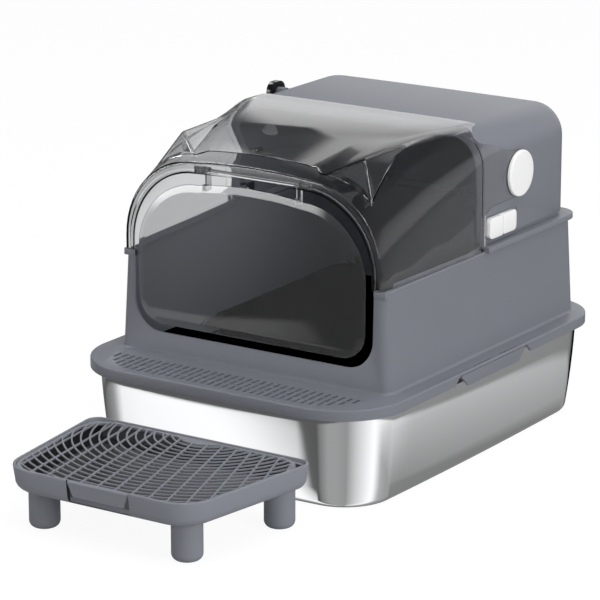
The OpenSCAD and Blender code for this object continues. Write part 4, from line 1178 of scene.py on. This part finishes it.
def high_light(tree, bearing, height):
    """What gloss sees higher up."""
    dark = patch(tree, bearing, height, DARK_PATCH, (0.3, 0.5))
    around = window(tree, bearing, *NOT_BEHIND, 1.2)
    elsewhere = add(tree, "Math", [(around, 0), (dark, 1)], operation="MAXIMUM")
    glow = glow_ramp(tree, height, HIGH_GLOW)
    total = add(tree, "Mix", [(elsewhere, "Factor"), (glow, "A"), (AROUND, "B")])
    for *place, strength in STRIPS:
        strip = patch(tree, bearing, height, place, (3, 3))
        total = add(tree, "Math", [(strip, 0), (strength, 1), (total, 2)], operation="MULTIPLY_ADD")
    return total


def plain_view(tree, path):
    """1 for what the camera sees, directly or through clear plastic."""
    return add(
        tree, "Math", [(path.outputs["Is Camera Ray"], 0), (path.outputs["Is Transmission Ray"], 1)],
        operation="MAXIMUM",
    )


def make_world():
    """White for the camera, a studio of lights and darks for gloss, and even soft light for the rest."""
    world = bpy.data.worlds.new("studio")
    bpy.context.scene.world = world
    world.use_nodes = True
    tree = world.node_tree
    tree.nodes.clear()
    way = add(tree, "TexCoord").outputs["Generated"]
    axes = add(tree, "SeparateXYZ", [(way, "Vector")])
    forward = add(tree, "Math", [(axes.outputs["Y"], 0), (-1, 1)], operation="MULTIPLY")
    bearing = add(tree, "Math", [(axes.outputs["X"], 0), (forward, 1)], operation="ARCTAN2")
    height = add(tree, "Math", [(axes.outputs["Z"], 0)], operation="ARCSINE")
    rise = add(
        tree, "MapRange", [(height, "Value")],
        From_Min=math.radians(-20.4), From_Max=math.radians(-19.6),
    )
    low, high = low_light(tree, bearing, height), high_light(tree, bearing, height)
    gloss = add(tree, "Mix", [(rise, "Factor"), (low, "A"), (high, "B")])
    # seen through clear plastic, the white darkens upwards
    sky = add(
        tree, "MapRange", [(height, "Value")],
        From_Min=math.radians(12), From_Max=math.radians(22), To_Min=1.0, To_Max=0.14,
    )
    path = add(tree, "LightPath")
    pale = add(tree, "Math", [(sky, 0), (path.outputs["Is Camera Ray"], 1)], operation="MAXIMUM")
    soft, shine, white = (
        add(tree, "Background", [(strength, "Strength")], Color=linear("#ffffff"))
        for strength in (0.44, gloss, pale)
    )
    mirrored = add(tree, "MixShader", [(path.outputs["Is Glossy Ray"], 0), (soft, 1), (shine, 2)])
    seen = add(tree, "MixShader", [(plain_view(tree, path), 0), (mirrored, 1), (white, 2)])
    add(tree, "OutputWorld", [(seen, "Surface")])


def make_floor():
    """Near white with a faint shadow in plain view, and light grey where it lights the box."""
    half_side, bounce, shadow, glow = 6, 0.6, 0.1, 0.93
    bm = bmesh.new()
    bmesh.ops.create_grid(bm, x_segments=1, y_segments=1, size=half_side)
    floor = to_object(bm, "floor")
    material, tree = new_material("floor_white")
    path = add(tree, "LightPath")
    plain, faint = (add(tree, "BsdfDiffuse", Color=(v, v, v, 1)) for v in (bounce, shadow))
    light = add(tree, "Emission", Strength=glow)
    pale = add(tree, "AddShader", [(faint, 0), (light, 1)])
    surface = add(tree, "MixShader", [(plain_view(tree, path), 0), (plain, 1), (pale, 2)])
    add(tree, "OutputMaterial", [(surface, "Surface")])
    floor.data.materials.append(material)
    floor.visible_glossy = False


def make_studio():
    bpy.context.scene.view_settings.view_transform = "Standard"
    make_world()
    make_floor()
    softbox("top_softbox", (0.4, -0.6, 2.6), 2.4, 30)
    softbox("side_softbox", (3.0, -1.0, 1.2), 1.6, 45)


def finish_nodes():
    """Gives each CAD node the finish of its material slot."""
    finishes = {
        "grey": pp_grey, "white": abs_white, "black": pp_black, "clear": smoke_clear, "steel": pan_steel,
        "pin_steel": wire_steel,
    }
    slots = {subpart["node"]: subpart["material_slot"] for subpart in frame["record"]["subparts"]}
    for name, node in nodes.items():
        node.data.materials.clear()
        node.data.materials.append(finishes[slots[name]])


make_pan()
make_frame()
make_hood()
make_cover()
make_door()
make_pivot_caps()
make_clips()
make_tray()
make_grid()
make_legs()
for name in ("left", "right"):
    dressed("hood_latch_" + name, "latch_" + name, "white", abs_white, 0.8)
dressed("litter_scoop", "scoop", "black", pp_black, 1.0)
dressed("scoop_hook", "base", "grey", pp_grey, 0.6)
finish_nodes()
for piece in bpy.data.objects:
    if piece.name.startswith("step_"):
        piece.visible_glossy = False  # the steel above mirrors the studio and not the step
make_camera()
make_studio()
